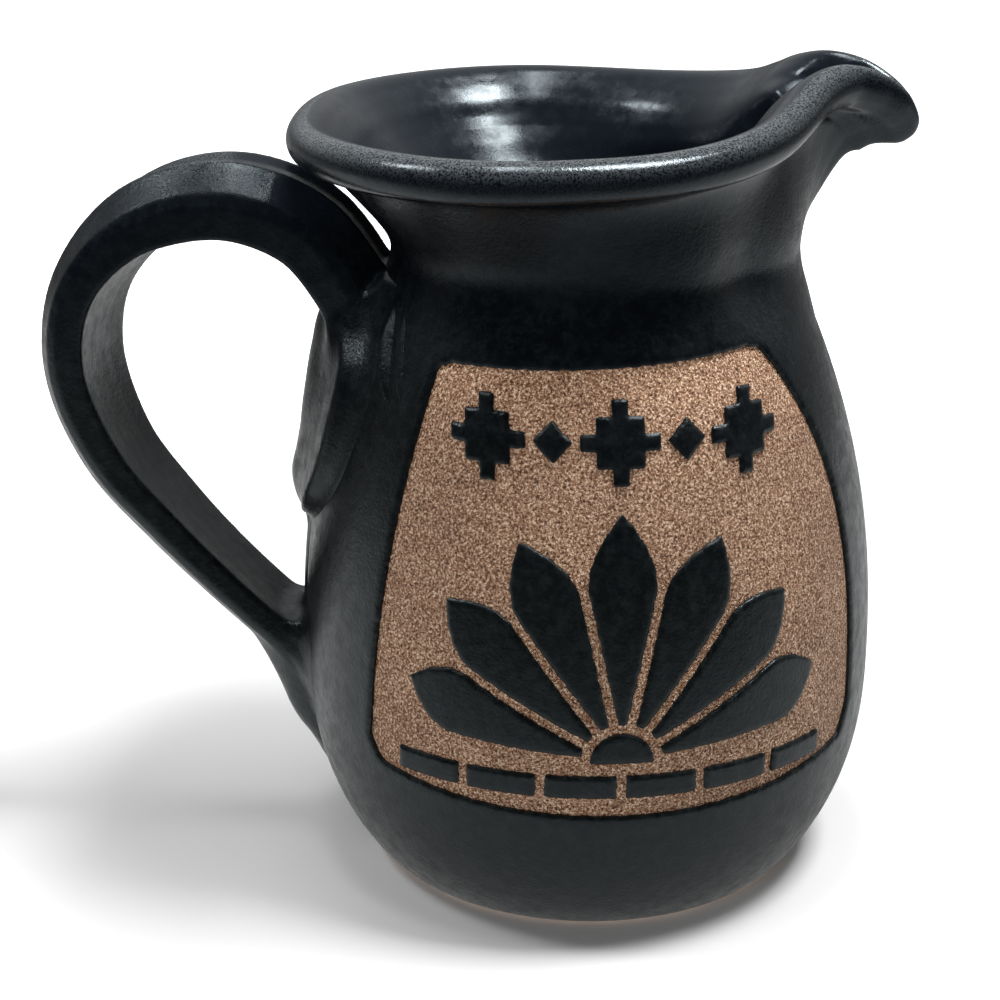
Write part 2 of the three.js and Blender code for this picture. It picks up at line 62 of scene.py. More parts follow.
# ---- Body of the vessel, measured on the finished glazed surface
FOOT_RADIUS = 46.6
BELLY_RADIUS = 62.5
BELLY_HEIGHT = 46.0
NECK_RADIUS = 41.2
NECK_HEIGHT = 137.5
HEEL_FULLNESS = 2.3
HEEL_SOFTNESS = 0.85
SHOULDER_FULLNESS = 2.25
NECK_SOFTNESS = 4.0
FLARE_SOFTNESS = 0.22
WALL = 5.6
FLOOR = 7.0
FLOOR_CORNER = 5.0

# ---- Rolled rim and pulled spout
ROLL_HEIGHT = 160.7
ROLL_RADIUS = 4.3
ROLL_BACK_RADIUS = 58.5
ROLL_SHOULDER_RADIUS = 60.6
TIP_REACH = 62.8
TIP_HEIGHT = 162.6
LIP_REACH = 50.4
LIP_HEIGHT = 171.19
PINCH_RADIUS = 45.9
PINCH_HEIGHT = 167.4
LIP_HOOK = 3.2
LIP_HANG = 0.72
BEAK_SPREAD = 14.0
INSIDE_FULLNESS = 6.5
INSIDE_FADE = 8.0
INSIDE_LAG = 3.0
THROAT_RADIUS = 43.95
THROAT_PUSH = 2.8
THROAT_SPREAD = 20.0
CREASE_DEPTH = 2.2
CREASE_ANGLE = 42.0
CREASE_SPREAD = 12.0
THROAT_BOTTOM = 121.0
JOINT_ANGLE = 125.0
RIM_REACH = 4.5
RIM_DROP = 12.0

# Rings that the thrower's fingers left in the inner wall: depth, wavelength and height of a zero, and
# the heights between which they begin and end
THROWING_RINGS = [
    (0.4, 10.5, 0.0, (15, 30), (142, 149)),
    (0.13, 9.0, 152.2, (145, 150), (162, 164.5)),
    (0.03, 3.7, 155.3, (145, 150), (162, 164.5)),
]

# ---- Glaze
GLAZE = 0.7
GLAZE_BUILD = 1.0  # depth of the clay under the finished surface
GLAZE_LINE = 1.0  # height of the coat's lower edge
ROOTED = 0.05  # how far the edges of the glaze reach into the clay
EDGE_ROUND = 0.9  # width over which the glaze rolls down at an edge
EDGE_DROP = 0.42
ISLAND_DEPTH = 0.12  # the small islands lie this much lower than the wall's glaze

# ---- Handle
HANDLE_REACH = 110.77
HANDLE_CROWN = 146.6
LOWER_JOINT = 46.5
STRAP_WIDTH = 27.0
STRAP_WIDTH_BELOW = 24.0
STRAP_TOP = 15.5
STRAP_BEND = 11.3
STRAP_BELOW = 9.2
GROOVE_DEPTH = 1.5
PALM_DEPTH = 0.6
STRAP_TWIST = 10.0
TWIST_PLACE = 0.5
TWIST_SPREAD = 0.17
TAIL_TOP = 45.0
TAIL_TIP = 9.0
TAIL_HALF = 12.0
TONGUE_FILLET = 7.0
TONGUE_SOFTNESS = 1.8
SECTION_SOFTNESS = 1.1
JOINT_FILLET, CROWN_FILLET = 7.0, 0.6
CROWN_SPAN = (116, 132)  # heights between which the fillet of the joint gives way to that of the crown
PAD_RANGE = 16.0  # how far the smeared clay can reach from the strap, the tongue and the tail
PAD_SINK = 0.3  # how far its surface dips under the glaze where it runs out
HANDLE_ROOT = 2.5  # how deep the handle's mesh goes on inside the wall
HANDLE_BOX = (-118.0, -38.0, 2.0), (-34.0, 36.0, 158.0)  # of the grid that its mesh is drawn from
HANDLE_STEP, HANDLE_STEP_QUICK = 0.6, 0.8

# ---- Panel and design
PANEL_LEFT_TOP = -38.8
PANEL_LEFT_BOTTOM = -46.8
PANEL_RIGHT = 64.2
PANEL_RIGHT_TOP = 46.0
PANEL_BOTTOM = 33.2
PANEL_TOP_LEFT = 121.5
PANEL_TOP_RIGHT = 124.5
PANEL_SAG = 3.0
SAG_TURN = 45.0
PANEL_CORNER = 4.0
PANEL_SOFTNESS = 1.8
PANEL_WOBBLE = 0.1
CORNER_TURN = 3.5
LOW_RIGHT_CUT = 1.6
HIGH_CUT = 0.3
PANEL_CENTRE = 7.0
FAN_HEIGHT = 45.5
LEAF_COUNT = 7
LEAF_PITCH = 24.5
LEAF_ROOT = 8.5
LEAF_LENGTH = 51.0
LEAF_SHOULDER = 34.0
LEAF_BOW = 7.0
LEAF_FULLNESS = 1.35
LEAF_SHORTFALL = 0.07
LINE_WIDTH = 2.0
HEART_RADIUS = 6.5
BLOCK_COUNT = 6
BLOCK_LENGTH = 14.6
BLOCK_TALL = 5.0
BLOCK_BASE = 37.6
LOZENGE_HEIGHT = 109.6
LOZENGE_COUNT = 3
LOZENGE_PITCH = 27.0
LOZENGE_STEP = 3.2
LOZENGE_STEPS = 3
STUD_SIZE = 4.0
ISLAND_SOFTNESS = 0.55
ISLAND_WOBBLE = 0.07

# ---- Meshes
PATCH_ROWS = (26, 130)  # heights and angles of the part of the wall that is meshed round the window
PATCH_COLUMNS = (-142.6, -18.9)
BEAK_COLUMNS = 14  # half the angle over which the spout has its fine columns
SAME_POINT = 1e-4  # points closer than this are one, and then those closer than the weld
WELD = 0.002
SHARP_ANGLE = 50

lerp = lambda a, b, t: a + (b - a) * t


def smooth(x, a, b):
    t = np.clip((x - a) / (b - a), 0, 1)
    return t * t * (3 - 2 * t)


def bump(x):
    return np.exp(-x * x)


def through(stations, x):
    """A smooth curve through stations [x, value], with level ends."""
    xs, ys = np.array(stations, float).T
    slope = np.zeros(len(xs))
    slope[1:-1] = (ys[2:] - ys[:-2]) / (xs[2:] - xs[:-2])
    x = np.clip(x, xs[0], xs[-1])
    i = np.clip(np.searchsorted(xs, x, side="right") - 1, 0, len(xs) - 2)
    h = xs[i + 1] - xs[i]
    t = (x - xs[i]) / h
    rise = t * t * (3 - 2 * t)
    bend = h * t * (1 - t) * ((1 - t) * slope[i] - t * slope[i + 1])
    return ys[i] + (ys[i + 1] - ys[i]) * rise + bend


# ---- Profile of the vessel

JOINT_RADIUS = ROLL_BACK_RADIUS + ROLL_RADIUS * math.cos(math.radians(JOINT_ANGLE))
JOINT_HEIGHT = ROLL_HEIGHT - ROLL_RADIUS * math.sin(math.radians(JOINT_ANGLE))


def outer_radius(z):
    low = 1 - np.clip(1 - z / BELLY_HEIGHT, 0, 1) ** HEEL_FULLNESS
    heel = FOOT_RADIUS + (BELLY_RADIUS - FOOT_RADIUS) * low**HEEL_SOFTNESS
    waist = NECK_RADIUS - NECK_SOFTNESS / 2
    u = np.clip((z - BELLY_HEIGHT) / (NECK_HEIGHT - BELLY_HEIGHT), 0, None)
    shoulder = BELLY_RADIUS - (BELLY_RADIUS - waist) * u**SHOULDER_FULLNESS
    v = (z - NECK_HEIGHT) / (JOINT_HEIGHT - NECK_HEIGHT)
    opened = (v + np.hypot(v, FLARE_SOFTNESS)) / (1 + math.hypot(1, FLARE_SOFTNESS))
    flare = waist + (JOINT_RADIUS - waist) * opened
    high = (shoulder + flare + np.hypot(shoulder - flare, NECK_SOFTNESS * np.minimum(u, 1))) / 2
    return np.where(z < BELLY_HEIGHT, heel, high)


def slope_of(radius_at, z):
    return radius_at(z + 0.5) - radius_at(z - 0.5)


def inner_radius(z):
    return outer_radius(z) - WALL * np.hypot(1, slope_of(outer_radius, z))


CREST_HEIGHT = ROLL_HEIGHT + ROLL_RADIUS

# Points of the profile are [radius, height, height on the finished surface, station]. The depth is how
# far a layer lies under the finished surface. The station goes up the wall and on round the roll, and
# is 0 on the inside.


def outer_point(z, depth):
    z = np.asarray(z, float)
    slope = slope_of(outer_radius, z)
    n = 1 / np.hypot(1, slope)
    return np.stack([outer_radius(z) - depth * n, z + depth * slope * n, z, z], -1)


def throwing_rings(z):
    """How deep the thrower's finger marks lie in the inner wall."""
    return sum(depth * np.sin(2 * np.pi * (z - zero) / wave) * smooth(z, *start) * (1 - smooth(z, *end))
               for depth, wave, zero, start, end in THROWING_RINGS)


def inner_point(z, depth):
    slope = slope_of(inner_radius, z)
    n = 1 / np.hypot(1, slope)
    reach = inner_radius(z) + depth * n + throwing_rings(z)
    return np.stack([reach, z - depth * slope * n, z, 0 * z], -1)


def roll_point(degrees, depth):
    a = np.radians(degrees)
    r = ROLL_RADIUS - depth
    station = JOINT_HEIGHT + ROLL_RADIUS * (a + math.radians(JOINT_ANGLE))
    height = ROLL_HEIGHT + ROLL_RADIUS * np.sin(a)
    spot = [ROLL_BACK_RADIUS + r * np.cos(a), ROLL_HEIGHT + r * np.sin(a)]
    return np.stack([*spot, height, station], -1)


def rim_point(t, depth):
    """From the crest of the rim down to the inner wall, on one curve."""
    foot = CREST_HEIGHT - RIM_DROP
    down = np.array([float(slope_of(inner_radius, np.array(foot))), 1])
    a = np.array([ROLL_BACK_RADIUS, CREST_HEIGHT])
    d = np.array([float(inner_radius(np.array(foot))), foot])
    b, c = a - (RIM_REACH, 0), d + RIM_REACH * down / np.hypot(*down)
    t = np.asarray(t)[:, None]
    spot = a * (1 - t) ** 3 + 3 * b * t * (1 - t) ** 2 + 3 * c * t * t * (1 - t) + d * t**3
    along = (b - a) * (1 - t) ** 2 + 2 * (c - b) * t * (1 - t) + (d - c) * t * t
    along /= np.hypot(*along.T)[:, None]
    depth = depth + throwing_rings(spot[:, 1])
    return np.stack([spot[:, 0] - depth * along[:, 1], spot[:, 1] + depth * along[:, 0],
                     spot[:, 1], 0 * spot[:, 1]], -1)


RIM_PLAN = [
    (0, TIP_REACH), (3, TIP_REACH - 2.2), (6.5, LIP_REACH + 5.2), (11, LIP_REACH),
    (19, PINCH_RADIUS + 0.9), (28, PINCH_RADIUS), (40, PINCH_RADIUS + 0.5),
    (55, PINCH_RADIUS + 1.9), (72, PINCH_RADIUS + 4.2), (90, ROLL_SHOULDER_RADIUS - 6.9),
    (107, ROLL_SHOULDER_RADIUS - 2), (125, ROLL_SHOULDER_RADIUS), (150, ROLL_SHOULDER_RADIUS),
    (180, ROLL_BACK_RADIUS),
]
RIM_RISE = [
    (0, TIP_HEIGHT), (3, TIP_HEIGHT + 3.9), (6.5, LIP_HEIGHT - 1.2), (11, LIP_HEIGHT),
    (19, PINCH_HEIGHT + 2.5), (28, PINCH_HEIGHT), (40, lerp(ROLL_HEIGHT, PINCH_HEIGHT, 0.55)),
    (55, lerp(ROLL_HEIGHT, PINCH_HEIGHT, 0.24)), (72, lerp(ROLL_HEIGHT, PINCH_HEIGHT, 0.05)),
    (90, ROLL_HEIGHT), (180, ROLL_HEIGHT),
]


# Outline of the spout in its own plane: shares of the way up to the joint, out to the tip and up to it
UNDERSIDE = TIP_HEIGHT - ROLL_RADIUS
THROAT_WALL = float(outer_radius(np.array(THROAT_BOTTOM)))
SPOUT_LINE = [
    (0, (THROAT_WALL - THROAT_RADIUS) / (TIP_REACH - THROAT_RADIUS), 0),
    (0.18, 0.109, 0.178), (0.33, 0.024, 0.327), (0.47, 0, 0.466), (0.61, 0.066, 0.606),
    (0.75, 0.204, 0.742), (0.86, 0.332, 0.853), (0.94, 0.459, 0.938), (1, 0.607, 0.979),
    (1.06, 0.82, 0.992), (1.12, 1.042, 0.997), (1.18, 1.18, 1.043),
]
SPOUT_STATION, SPOUT_OUT, SPOUT_UP = (
    [lerp(low, high, row[k]) for row in SPOUT_LINE]
    for k, (low, high) in enumerate(
        [(THROAT_BOTTOM, JOINT_HEIGHT), (THROAT_RADIUS, TIP_REACH), (THROAT_BOTTOM, UNDERSIDE)]))


def drawn_out(r, z, finished, turn, lag):
    """Where a point of the round profile goes when the rim is pinched and the lip drawn out."""
    grown = smooth(finished, NECK_HEIGHT, JOINT_HEIGHT)
    hook = smooth(finished - lag, JOINT_HEIGHT - LIP_HOOK, JOINT_HEIGHT)
    drawn = lerp(grown, hook, LIP_HANG)
    plan = through(RIM_PLAN, turn) - ROLL_BACK_RADIUS
    pinch_only = through(RIM_PLAN[4:], turn) - ROLL_BACK_RADIUS
    throat = THROAT_PUSH * bump(turn / THROAT_SPREAD)
    crease = CREASE_DEPTH * bump((turn - CREASE_ANGLE) / CREASE_SPREAD)
    neck = smooth(finished, THROAT_BOTTOM, NECK_HEIGHT) * (1 - grown)
    radius = r + grown * pinch_only + drawn * (plan - pinch_only) + neck * (throat - crease)
    return radius, z + grown * (through(RIM_RISE, turn) - ROLL_HEIGHT)


def beak_shift(station, finished):
    """What the outline of the spout asks for beyond that, at stations in its plane."""
    on_wall = outer_point(np.minimum(station, JOINT_HEIGHT), 0)
    on_roll = roll_point(np.degrees((station - JOINT_HEIGHT) / ROLL_RADIUS) - JOINT_ANGLE, 0)
    plain = np.where((station < JOINT_HEIGHT)[..., None], on_wall, on_roll)
    radius, height = drawn_out(plain[..., 0], plain[..., 1], finished, 0.0, 0.0)
    asked = (station > THROAT_BOTTOM) & (station < SPOUT_STATION[-1])
    out = through(list(zip(SPOUT_STATION, SPOUT_OUT)), station) - radius
    up = through(list(zip(SPOUT_STATION, SPOUT_UP)), station) - height
    return np.where(asked, out, 0), np.where(asked, up, 0)


def pulled(point, angle):
    """Where points of the round profile go when the spout is pulled, in millimetres."""
    r, z, finished, station = (point[..., k] for k in range(4))
    turn = np.abs(angle)
    inside = station == 0
    radius, height = drawn_out(r, z, finished, turn, np.where(inside, INSIDE_LAG, 0))
    near = bump(turn / BEAK_SPREAD)
    fade = 1 - smooth(finished, JOINT_HEIGHT - INSIDE_FADE, JOINT_HEIGHT)
    swell = INSIDE_FULLNESS * smooth(finished, NECK_HEIGHT, JOINT_HEIGHT) * fade
    out, up = beak_shift(station, finished)
    radius = radius + near * np.where(inside, swell, out)
    height = height + near * up
    a = np.radians(angle)
    return np.stack([radius * np.cos(a), radius * np.sin(a), height], -1)


def wall_at(azimuth, z, depth):
    return pulled(outer_point(z, depth), np.asarray(azimuth) - 90.0)


COLUMNS = np.concatenate([
    np.linspace(-180, -45, 108, endpoint=False),
    np.linspace(-45, -BEAK_COLUMNS, 31, endpoint=False),
    np.linspace(-BEAK_COLUMNS, BEAK_COLUMNS, 112, endpoint=False),
    np.linspace(BEAK_COLUMNS, 45, 31, endpoint=False),
    np.linspace(45, 180, 108, endpoint=False),
])
WALL_ROWS = np.concatenate([
    np.linspace(GLAZE_LINE, PATCH_ROWS[0], 20, endpoint=False),
    np.linspace(*PATCH_ROWS, 84, endpoint=False),
    np.linspace(PATCH_ROWS[1], JOINT_HEIGHT, 34, endpoint=False),
])
ROLL_TURNS = np.linspace(-JOINT_ANGLE, 90, 48, endpoint=False)
RIM_STEPS = np.linspace(0, 1, 36, endpoint=False)


def inside_profile(depth):
    lean = math.atan(float(slope_of(inner_radius, np.array(FLOOR + FLOOR_CORNER))))
    low = FLOOR + FLOOR_CORNER * (1 - math.sin(lean))
    wall = np.linspace(CREST_HEIGHT - RIM_DROP, low, 130)
    centre = float(inner_radius(np.array(low))) - FLOOR_CORNER * math.cos(lean)
    angle = np.linspace(-lean, -math.pi / 2, 10)[1:]
    reach = FLOOR_CORNER + depth
    corner = np.stack([
        centre + reach * np.cos(angle),
        FLOOR + FLOOR_CORNER + reach * np.sin(angle),
        np.full(len(angle), FLOOR),
        np.zeros(len(angle)),
    ], -1)
    radii = np.linspace(centre, 0, 16)[1:]
    floor = np.stack([radii, np.full(15, FLOOR - depth), np.full(15, FLOOR), np.zeros(15)], -1)
    return np.concatenate([rim_point(RIM_STEPS, depth), inner_point(wall, depth), corner, floor])


def softened(rows, corner, reach=7, passes=14):
    """The profile with the corner at this row rounded over so many rows on each side."""
    rows = rows.copy()
    weight = 0.5 * np.clip(1 - np.abs(np.arange(1, len(rows) - 1) - corner) / reach, 0, 1)[:, None]
    for _ in range(passes):
        rows[1:-1] += weight * (rows[:-2] + rows[2:] - 2 * rows[1:-1])
    return rows


# ---- Meshes

def make_object(name, points, faces, material, bevelled=False):
    """A smooth object from points in millimetres, with coincident points joined."""
    keys = np.round(np.asarray(points) / SAME_POINT).astype(np.int64)
    _, first, back = np.unique(keys, axis=0, return_index=True, return_inverse=True)
    back = back.reshape(-1)
    kept = []
    for face in faces:
        corners = []
        for v in face:
            w = int(back[v])
            if w not in corners:
                corners.append(w)
        if len(corners) > 2:
            kept.append(corners)
    used = sorted({v for corners in kept for v in corners})
    place = dict(zip(used, range(len(used))))
    kept = [[place[v] for v in corners] for corners in kept]
    mesh = bpy.data.meshes.new(name)
    mesh.from_pydata((np.asarray(points)[first[used]] * MM).tolist(), [], kept)
    welded = bmesh.new()
    welded.from_mesh(mesh)
    bmesh.ops.remove_doubles(welded, verts=welded.verts, dist=WELD * MM)
    welded.to_mesh(mesh)
    welded.free()
    mesh.validate()
    mesh.polygons.foreach_set("use_smooth", [True] * len(mesh.polygons))
    if bevelled:
        mesh.set_sharp_from_angle(angle=math.radians(SHARP_ANGLE))
    obj = bpy.data.objects.new(name, mesh)
    bpy.context.collection.objects.link(obj)
    obj.data.materials.append(material)
    return obj


def grid_faces(rows, columns, closed=True, start=0, flip=False):
    faces = []
    for r in range(rows - 1):
        for c in range(columns if closed else columns - 1):
            a = start + r * columns + c
            b = start + r * columns + (c + 1) % columns
            d, e = a + columns, b + columns
            faces.append((a, d, e, b) if flip else (a, b, e, d))
    return faces


def ragged(points, amplitude, seed, wave=1.7):
    """The closed outline with small seeded wobbles along its normals."""
    rng = np.random.default_rng(seed)
    step = np.roll(points, -1, 0) - points
    length = np.concatenate([[0], np.cumsum(np.hypot(*step.T))])
    total, at = length[-1], length[:-1]
    tangent = np.roll(points, -1, 0) - np.roll(points, 1, 0)
    normal = np.stack([tangent[:, 1], -tangent[:, 0]], -1)
    normal /= np.maximum(np.hypot(*normal.T), 1e-9)[:, None]
    wobble = np.zeros(len(points))
    for k in range(6):
        turns = max(1, round(total / (wave * (0.6 + 0.45 * k))))
        wobble += rng.normal() * np.sin(2 * np.pi * turns * at / total + rng.uniform(0, 6.3))
    return points + normal * (amplitude * wobble / 2.4)[:, None]


def resampled(points, spacing):
    closed = np.concatenate([points, points[:1]])
    length = np.concatenate([[0], np.cumsum(np.hypot(*np.diff(closed, axis=0).T))])
    count = max(12, int(round(length[-1] / spacing)))
    at = np.linspace(0, length[-1], count, endpoint=False)
    return np.stack([np.interp(at, length, closed[:, k]) for k in (0, 1)], -1)


def rounded(points, reach, spacing):
    """The closed outline with its corners rounded over about this reach."""
    width = max(1, int(round(reach / spacing)))
    weights = np.hanning(2 * width + 3)[1:-1]
    weights /= weights.sum()
    total = np.zeros_like(points)
    for k, w in enumerate(weights):
        total += w * np.roll(points, k - width, 0)
    return total


def edge_distance(spots, outline):
    """Distance of each spot from a closed outline, and whether it lies inside."""
    a, b = outline, np.roll(outline, -1, 0)
    distance = np.empty(len(spots))
    inside = np.empty(len(spots), bool)
    for k in range(0, len(spots), 2000):
        p = spots[k:k + 2000, None, :]
        ab = (b - a)[None]
        t = np.clip(((p - a) * ab).sum(-1) / np.maximum((ab**2).sum(-1), 1e-12), 0, 1)
        gap = p - a - t[..., None] * ab
        distance[k:k + 2000] = np.sqrt((gap**2).sum(-1)).min(1)
        crosses = (a[None, :, 1] > p[..., 1]) != (b[None, :, 1] > p[..., 1])
        rise = np.where(np.abs(ab[..., 1]) < 1e-12, 1e-12, ab[..., 1])
        x = a[None, :, 0] + (p[..., 1] - a[None, :, 1]) * ab[..., 0] / rise
        inside[k:k + 2000] = (crosses & (p[..., 0] < x)).sum(1) % 2 == 1
    return distance, inside


def offset(outline, reach):
    """Points this far off a counter-clockwise outline, outwards where reach is positive."""
    tangent = np.roll(outline, -1, 0) - np.roll(outline, 1, 0)
    normal = np.stack([tangent[:, 1], -tangent[:, 0]], -1)
    normal /= np.maximum(np.hypot(*normal.T), 1e-9)[:, None]
    return outline + normal * reach


def triangulated(points, edges):
    verts, _, faces, *_ = delaunay_2d_cdt([Vector(p) for p in points], edges, [], 0, 1e-6, False)
    return np.array([tuple(v) for v in verts]), np.array([tuple(f) for f in faces])


def loop_edges(count):
    return [(i, (i + 1) % count) for i in range(count)]


# ---- Panel outline, in [azimuth, height]

def panel_left(z):
    return lerp(PANEL_LEFT_BOTTOM, PANEL_LEFT_TOP, (z - PANEL_BOTTOM) / (PANEL_TOP_LEFT - PANEL_BOTTOM))


def panel_right(z):
    up = np.clip((z - BELLY_HEIGHT) / (PANEL_TOP_RIGHT - BELLY_HEIGHT), 0, None)
    return PANEL_RIGHT - (PANEL_RIGHT - PANEL_RIGHT_TOP) * up**4


def panel_ends(u):
    foot = lerp(PANEL_LEFT_BOTTOM, PANEL_RIGHT, u)
    head = lerp(PANEL_LEFT_TOP, PANEL_RIGHT_TOP, u)
    cut = lambda edge, a: np.clip(1 - np.abs(a - edge) / CORNER_TURN, 0, None)
    low = cut(PANEL_LEFT_BOTTOM, foot) + LOW_RIGHT_CUT * cut(PANEL_RIGHT, foot)
    high = HIGH_CUT * (cut(PANEL_LEFT_TOP, head) + cut(PANEL_RIGHT_TOP, head))
    bottom = PANEL_BOTTOM + PANEL_SAG * ((foot - PANEL_CENTRE) / SAG_TURN) ** 2 + PANEL_CORNER * low
    return bottom, lerp(PANEL_TOP_LEFT, PANEL_TOP_RIGHT, u) - PANEL_CORNER * high


DEGREE = math.radians(1) * 58  # millimetres along the wall to a degree, about the middle of the panel


def panel_outline(spacing):
    """Counter-clockwise outline of the panel as [azimuth in wall millimetres, height]."""
    t = np.linspace(0, 1, 200, endpoint=False)

    def at(u, v):
        low, high = panel_ends(u)
        z = lerp(low, high, v)
        return np.stack([lerp(panel_left(z), panel_right(z), u) * DEGREE, z], -1)

    one = np.ones_like(t)
    sides = [at(t, 0 * t), at(one, t), at(1 - t, one), at(0 * t, 1 - t)]
    points = resampled(np.concatenate(sides), spacing)
    return ragged(rounded(points, PANEL_SOFTNESS, spacing), PANEL_WOBBLE, 11)


# ---- Glaze over the whole vessel, with a window for the panel

def edge_depth(distance):
    return EDGE_DROP * (1 - np.clip(distance / EDGE_ROUND, 0, 1)) ** 2


def wall_patch(columns, rows):
    """Triangles of the outer wall round the window, with each point's distance from its outline.

    The points are [azimuth in wall millimetres, height], and the outline's own come first.
    """
    outline = panel_outline(0.45)
    az, z = np.meshgrid(columns + 90.0, rows)
    net = np.stack([az.ravel() * DEGREE, z.ravel()], -1)
    gap, inside = edge_distance(net, outline)
    net = net[(gap > 1.25) & ~inside]
    rings = np.concatenate([offset(outline, reach)[first::step]
                            for reach, first, step in ((0.2, 0, 1), (0.5, 1, 2), (0.9, 0, 2))])
    gap, inside = edge_distance(rings, outline)
    rings = rings[(gap > 0.12) & ~inside]
    points, faces = triangulated(np.concatenate([outline, net, rings]), loop_edges(len(outline)))
    middle = points[faces].mean(1)
    faces = faces[~edge_distance(middle, outline)[1]]
    gap = edge_distance(points, outline)[0]
    gap[:len(outline)] = 0
    return points, faces, gap, len(outline)


def glaze_coat(material):
    inside_patch = (COLUMNS >= PATCH_COLUMNS[0]) & (COLUMNS <= PATCH_COLUMNS[1])
    first, last = np.flatnonzero(inside_patch)[[0, -1]]
    low, high = (int(np.argmin(np.abs(WALL_ROWS - z))) for z in PATCH_ROWS)
    patch, patch_faces, gap, rim = wall_patch(COLUMNS[first:last + 1], WALL_ROWS[low:high + 1])

    def surface(depth, window_depth):
        rows = np.concatenate([outer_point(WALL_ROWS, depth), roll_point(ROLL_TURNS, depth),
                               inside_profile(depth)])
        rows = softened(rows, len(WALL_ROWS))
        net = pulled(rows[:, None, :], COLUMNS[None, :])
        flat = wall_at(patch[:, 0] / DEGREE, patch[:, 1], window_depth)
        return len(rows), np.concatenate([net.reshape(-1, 3), flat])

    count, top = surface(0.0, edge_depth(gap))
    _, under = surface(GLAZE, np.where(gap < 0.05, GLAZE_BUILD + ROOTED, GLAZE))
    columns = len(COLUMNS)
    faces = []
    for face in grid_faces(count, columns):
        r, c = divmod(face[0], columns)
        if not (low <= r < high and first <= c < last):
            faces.append(face)
    start = count * columns
    for a, b, c in patch_faces + start:
        faces.append((a, b, c))
    size = len(top)
    faces += [tuple(v + size for v in reversed(face)) for face in faces]
    for c in range(columns):
        d = (c + 1) % columns
        faces.append((c, c + size, d + size, d))
    for k in range(rim):
        a, b = start + k, start + (k + 1) % rim
        faces.append((a, a + size, b + size, b)[::-1])
    return make_object("glaze_coat", np.concatenate([top, under]), faces, material, bevelled=True)


def clay_body(material):
    columns = np.linspace(-180, 180, 240, endpoint=False)
    foot = float(outer_radius(np.array(0.0))) - GLAZE_BUILD
    disc = np.stack([np.linspace(0, foot, 12)] + [np.zeros(12)] * 3, -1)
    rows = np.concatenate([
        disc,
        outer_point(np.linspace(GLAZE_LINE, JOINT_HEIGHT, 110, endpoint=False), GLAZE_BUILD),
        roll_point(ROLL_TURNS[::2], GLAZE_BUILD),
        inside_profile(GLAZE_BUILD),
    ])
    net = pulled(rows[:, None, :], columns[None, :])
    faces = grid_faces(len(rows), len(columns))
    return make_object("clay_vessel", net.reshape(-1, 3), faces, material, bevelled=True)


# ---- Raised glaze of the design

def island(name, shape, seed, material):
    """A closed slab of glaze on the clay, from a counter-clockwise outline in wall millimetres."""
    spacing, step = 0.42, 0.8
    outline = resampled(np.array(shape), spacing)
    outline = ragged(rounded(outline, ISLAND_SOFTNESS, spacing), ISLAND_WOBBLE, seed)
    low, high = outline.min(0), outline.max(0)
    x, z = np.meshgrid(np.arange(low[0], high[0], step), np.arange(low[1], high[1], step))
    net = np.stack([x.ravel(), z.ravel()], -1)
    gap, inside = edge_distance(net, outline)
    net = net[(gap > 1.05) & inside]
    reaches = (0.2, 0.5, 0.85)
    rings = np.concatenate([offset(outline, -reach) for reach in reaches])
    gap, inside = edge_distance(rings, outline)
    rings = rings[(gap > 0.85 * np.repeat(reaches, len(outline))) & inside]
    count = len(outline)
    points, faces = triangulated(np.concatenate([outline, net, rings]), loop_edges(count))
    faces = faces[edge_distance(points[faces].mean(1), outline)[1]]
    gap = edge_distance(points, outline)[0]
    gap[:count] = 0
    azimuth = PANEL_CENTRE + np.degrees(points[:, 0] / outer_radius(points[:, 1]))
    top = wall_at(azimuth, points[:, 1], ISLAND_DEPTH + edge_depth(gap))
    under = wall_at(azimuth, points[:, 1], np.full(len(points), GLAZE_BUILD + ROOTED))
    size = len(points)
    tris = [tuple(f) for f in faces] + [tuple(v + size for v in reversed(f)) for f in faces]
    walls = [(a, a + size, b + size, b) for a, b in loop_edges(count)]
    obj = make_object(name, np.concatenate([top, under]), tris + walls, material, bevelled=True)
    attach(obj, "root")
    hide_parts(name)
    return obj


def leaf(k):
    lean = math.radians((k - (LEAF_COUNT - 1) / 2) * LEAF_PITCH)
    half = lambda reach: reach * math.tan(math.radians(LEAF_PITCH / 2)) - LINE_WIDTH / 2
    tip = LEAF_LENGTH * (1 - LEAF_SHORTFALL * abs(math.sin(lean)))
    at = lambda side, reach: np.array([
        reach * math.sin(lean) + side * math.cos(lean),
        FAN_HEIGHT + reach * math.cos(lean) - side * math.sin(lean),
    ])
    wide = half(LEAF_SHOULDER)

    def bent(a, pull, b):
        return [a * (1 - t) ** 2 + 2 * pull * t * (1 - t) + b * t * t for t in np.linspace(0, 1, 16)]

    right, left = at(wide, LEAF_SHOULDER), at(-wide, LEAF_SHOULDER)
    pull = lambda side: at(side * wide * LEAF_FULLNESS, LEAF_SHOULDER + LEAF_BOW)
    point = at(0, tip)
    return ([at(-half(LEAF_ROOT), LEAF_ROOT), at(half(LEAF_ROOT), LEAF_ROOT)]
            + bent(right, pull(1), point) + bent(point, pull(-1), left)[1:])


def heart():
    turn = np.linspace(0, math.pi, 24)
    return np.stack([HEART_RADIUS * np.cos(turn), FAN_HEIGHT + HEART_RADIUS * np.sin(turn)], -1)


def block(k):
    x = (k - (BLOCK_COUNT - 1) / 2) * (BLOCK_LENGTH + LINE_WIDTH)
    left, right, top = x - BLOCK_LENGTH / 2, x + BLOCK_LENGTH / 2, BLOCK_BASE + BLOCK_TALL
    return [(left, BLOCK_BASE), (right, BLOCK_BASE), (right, top), (left, top)]


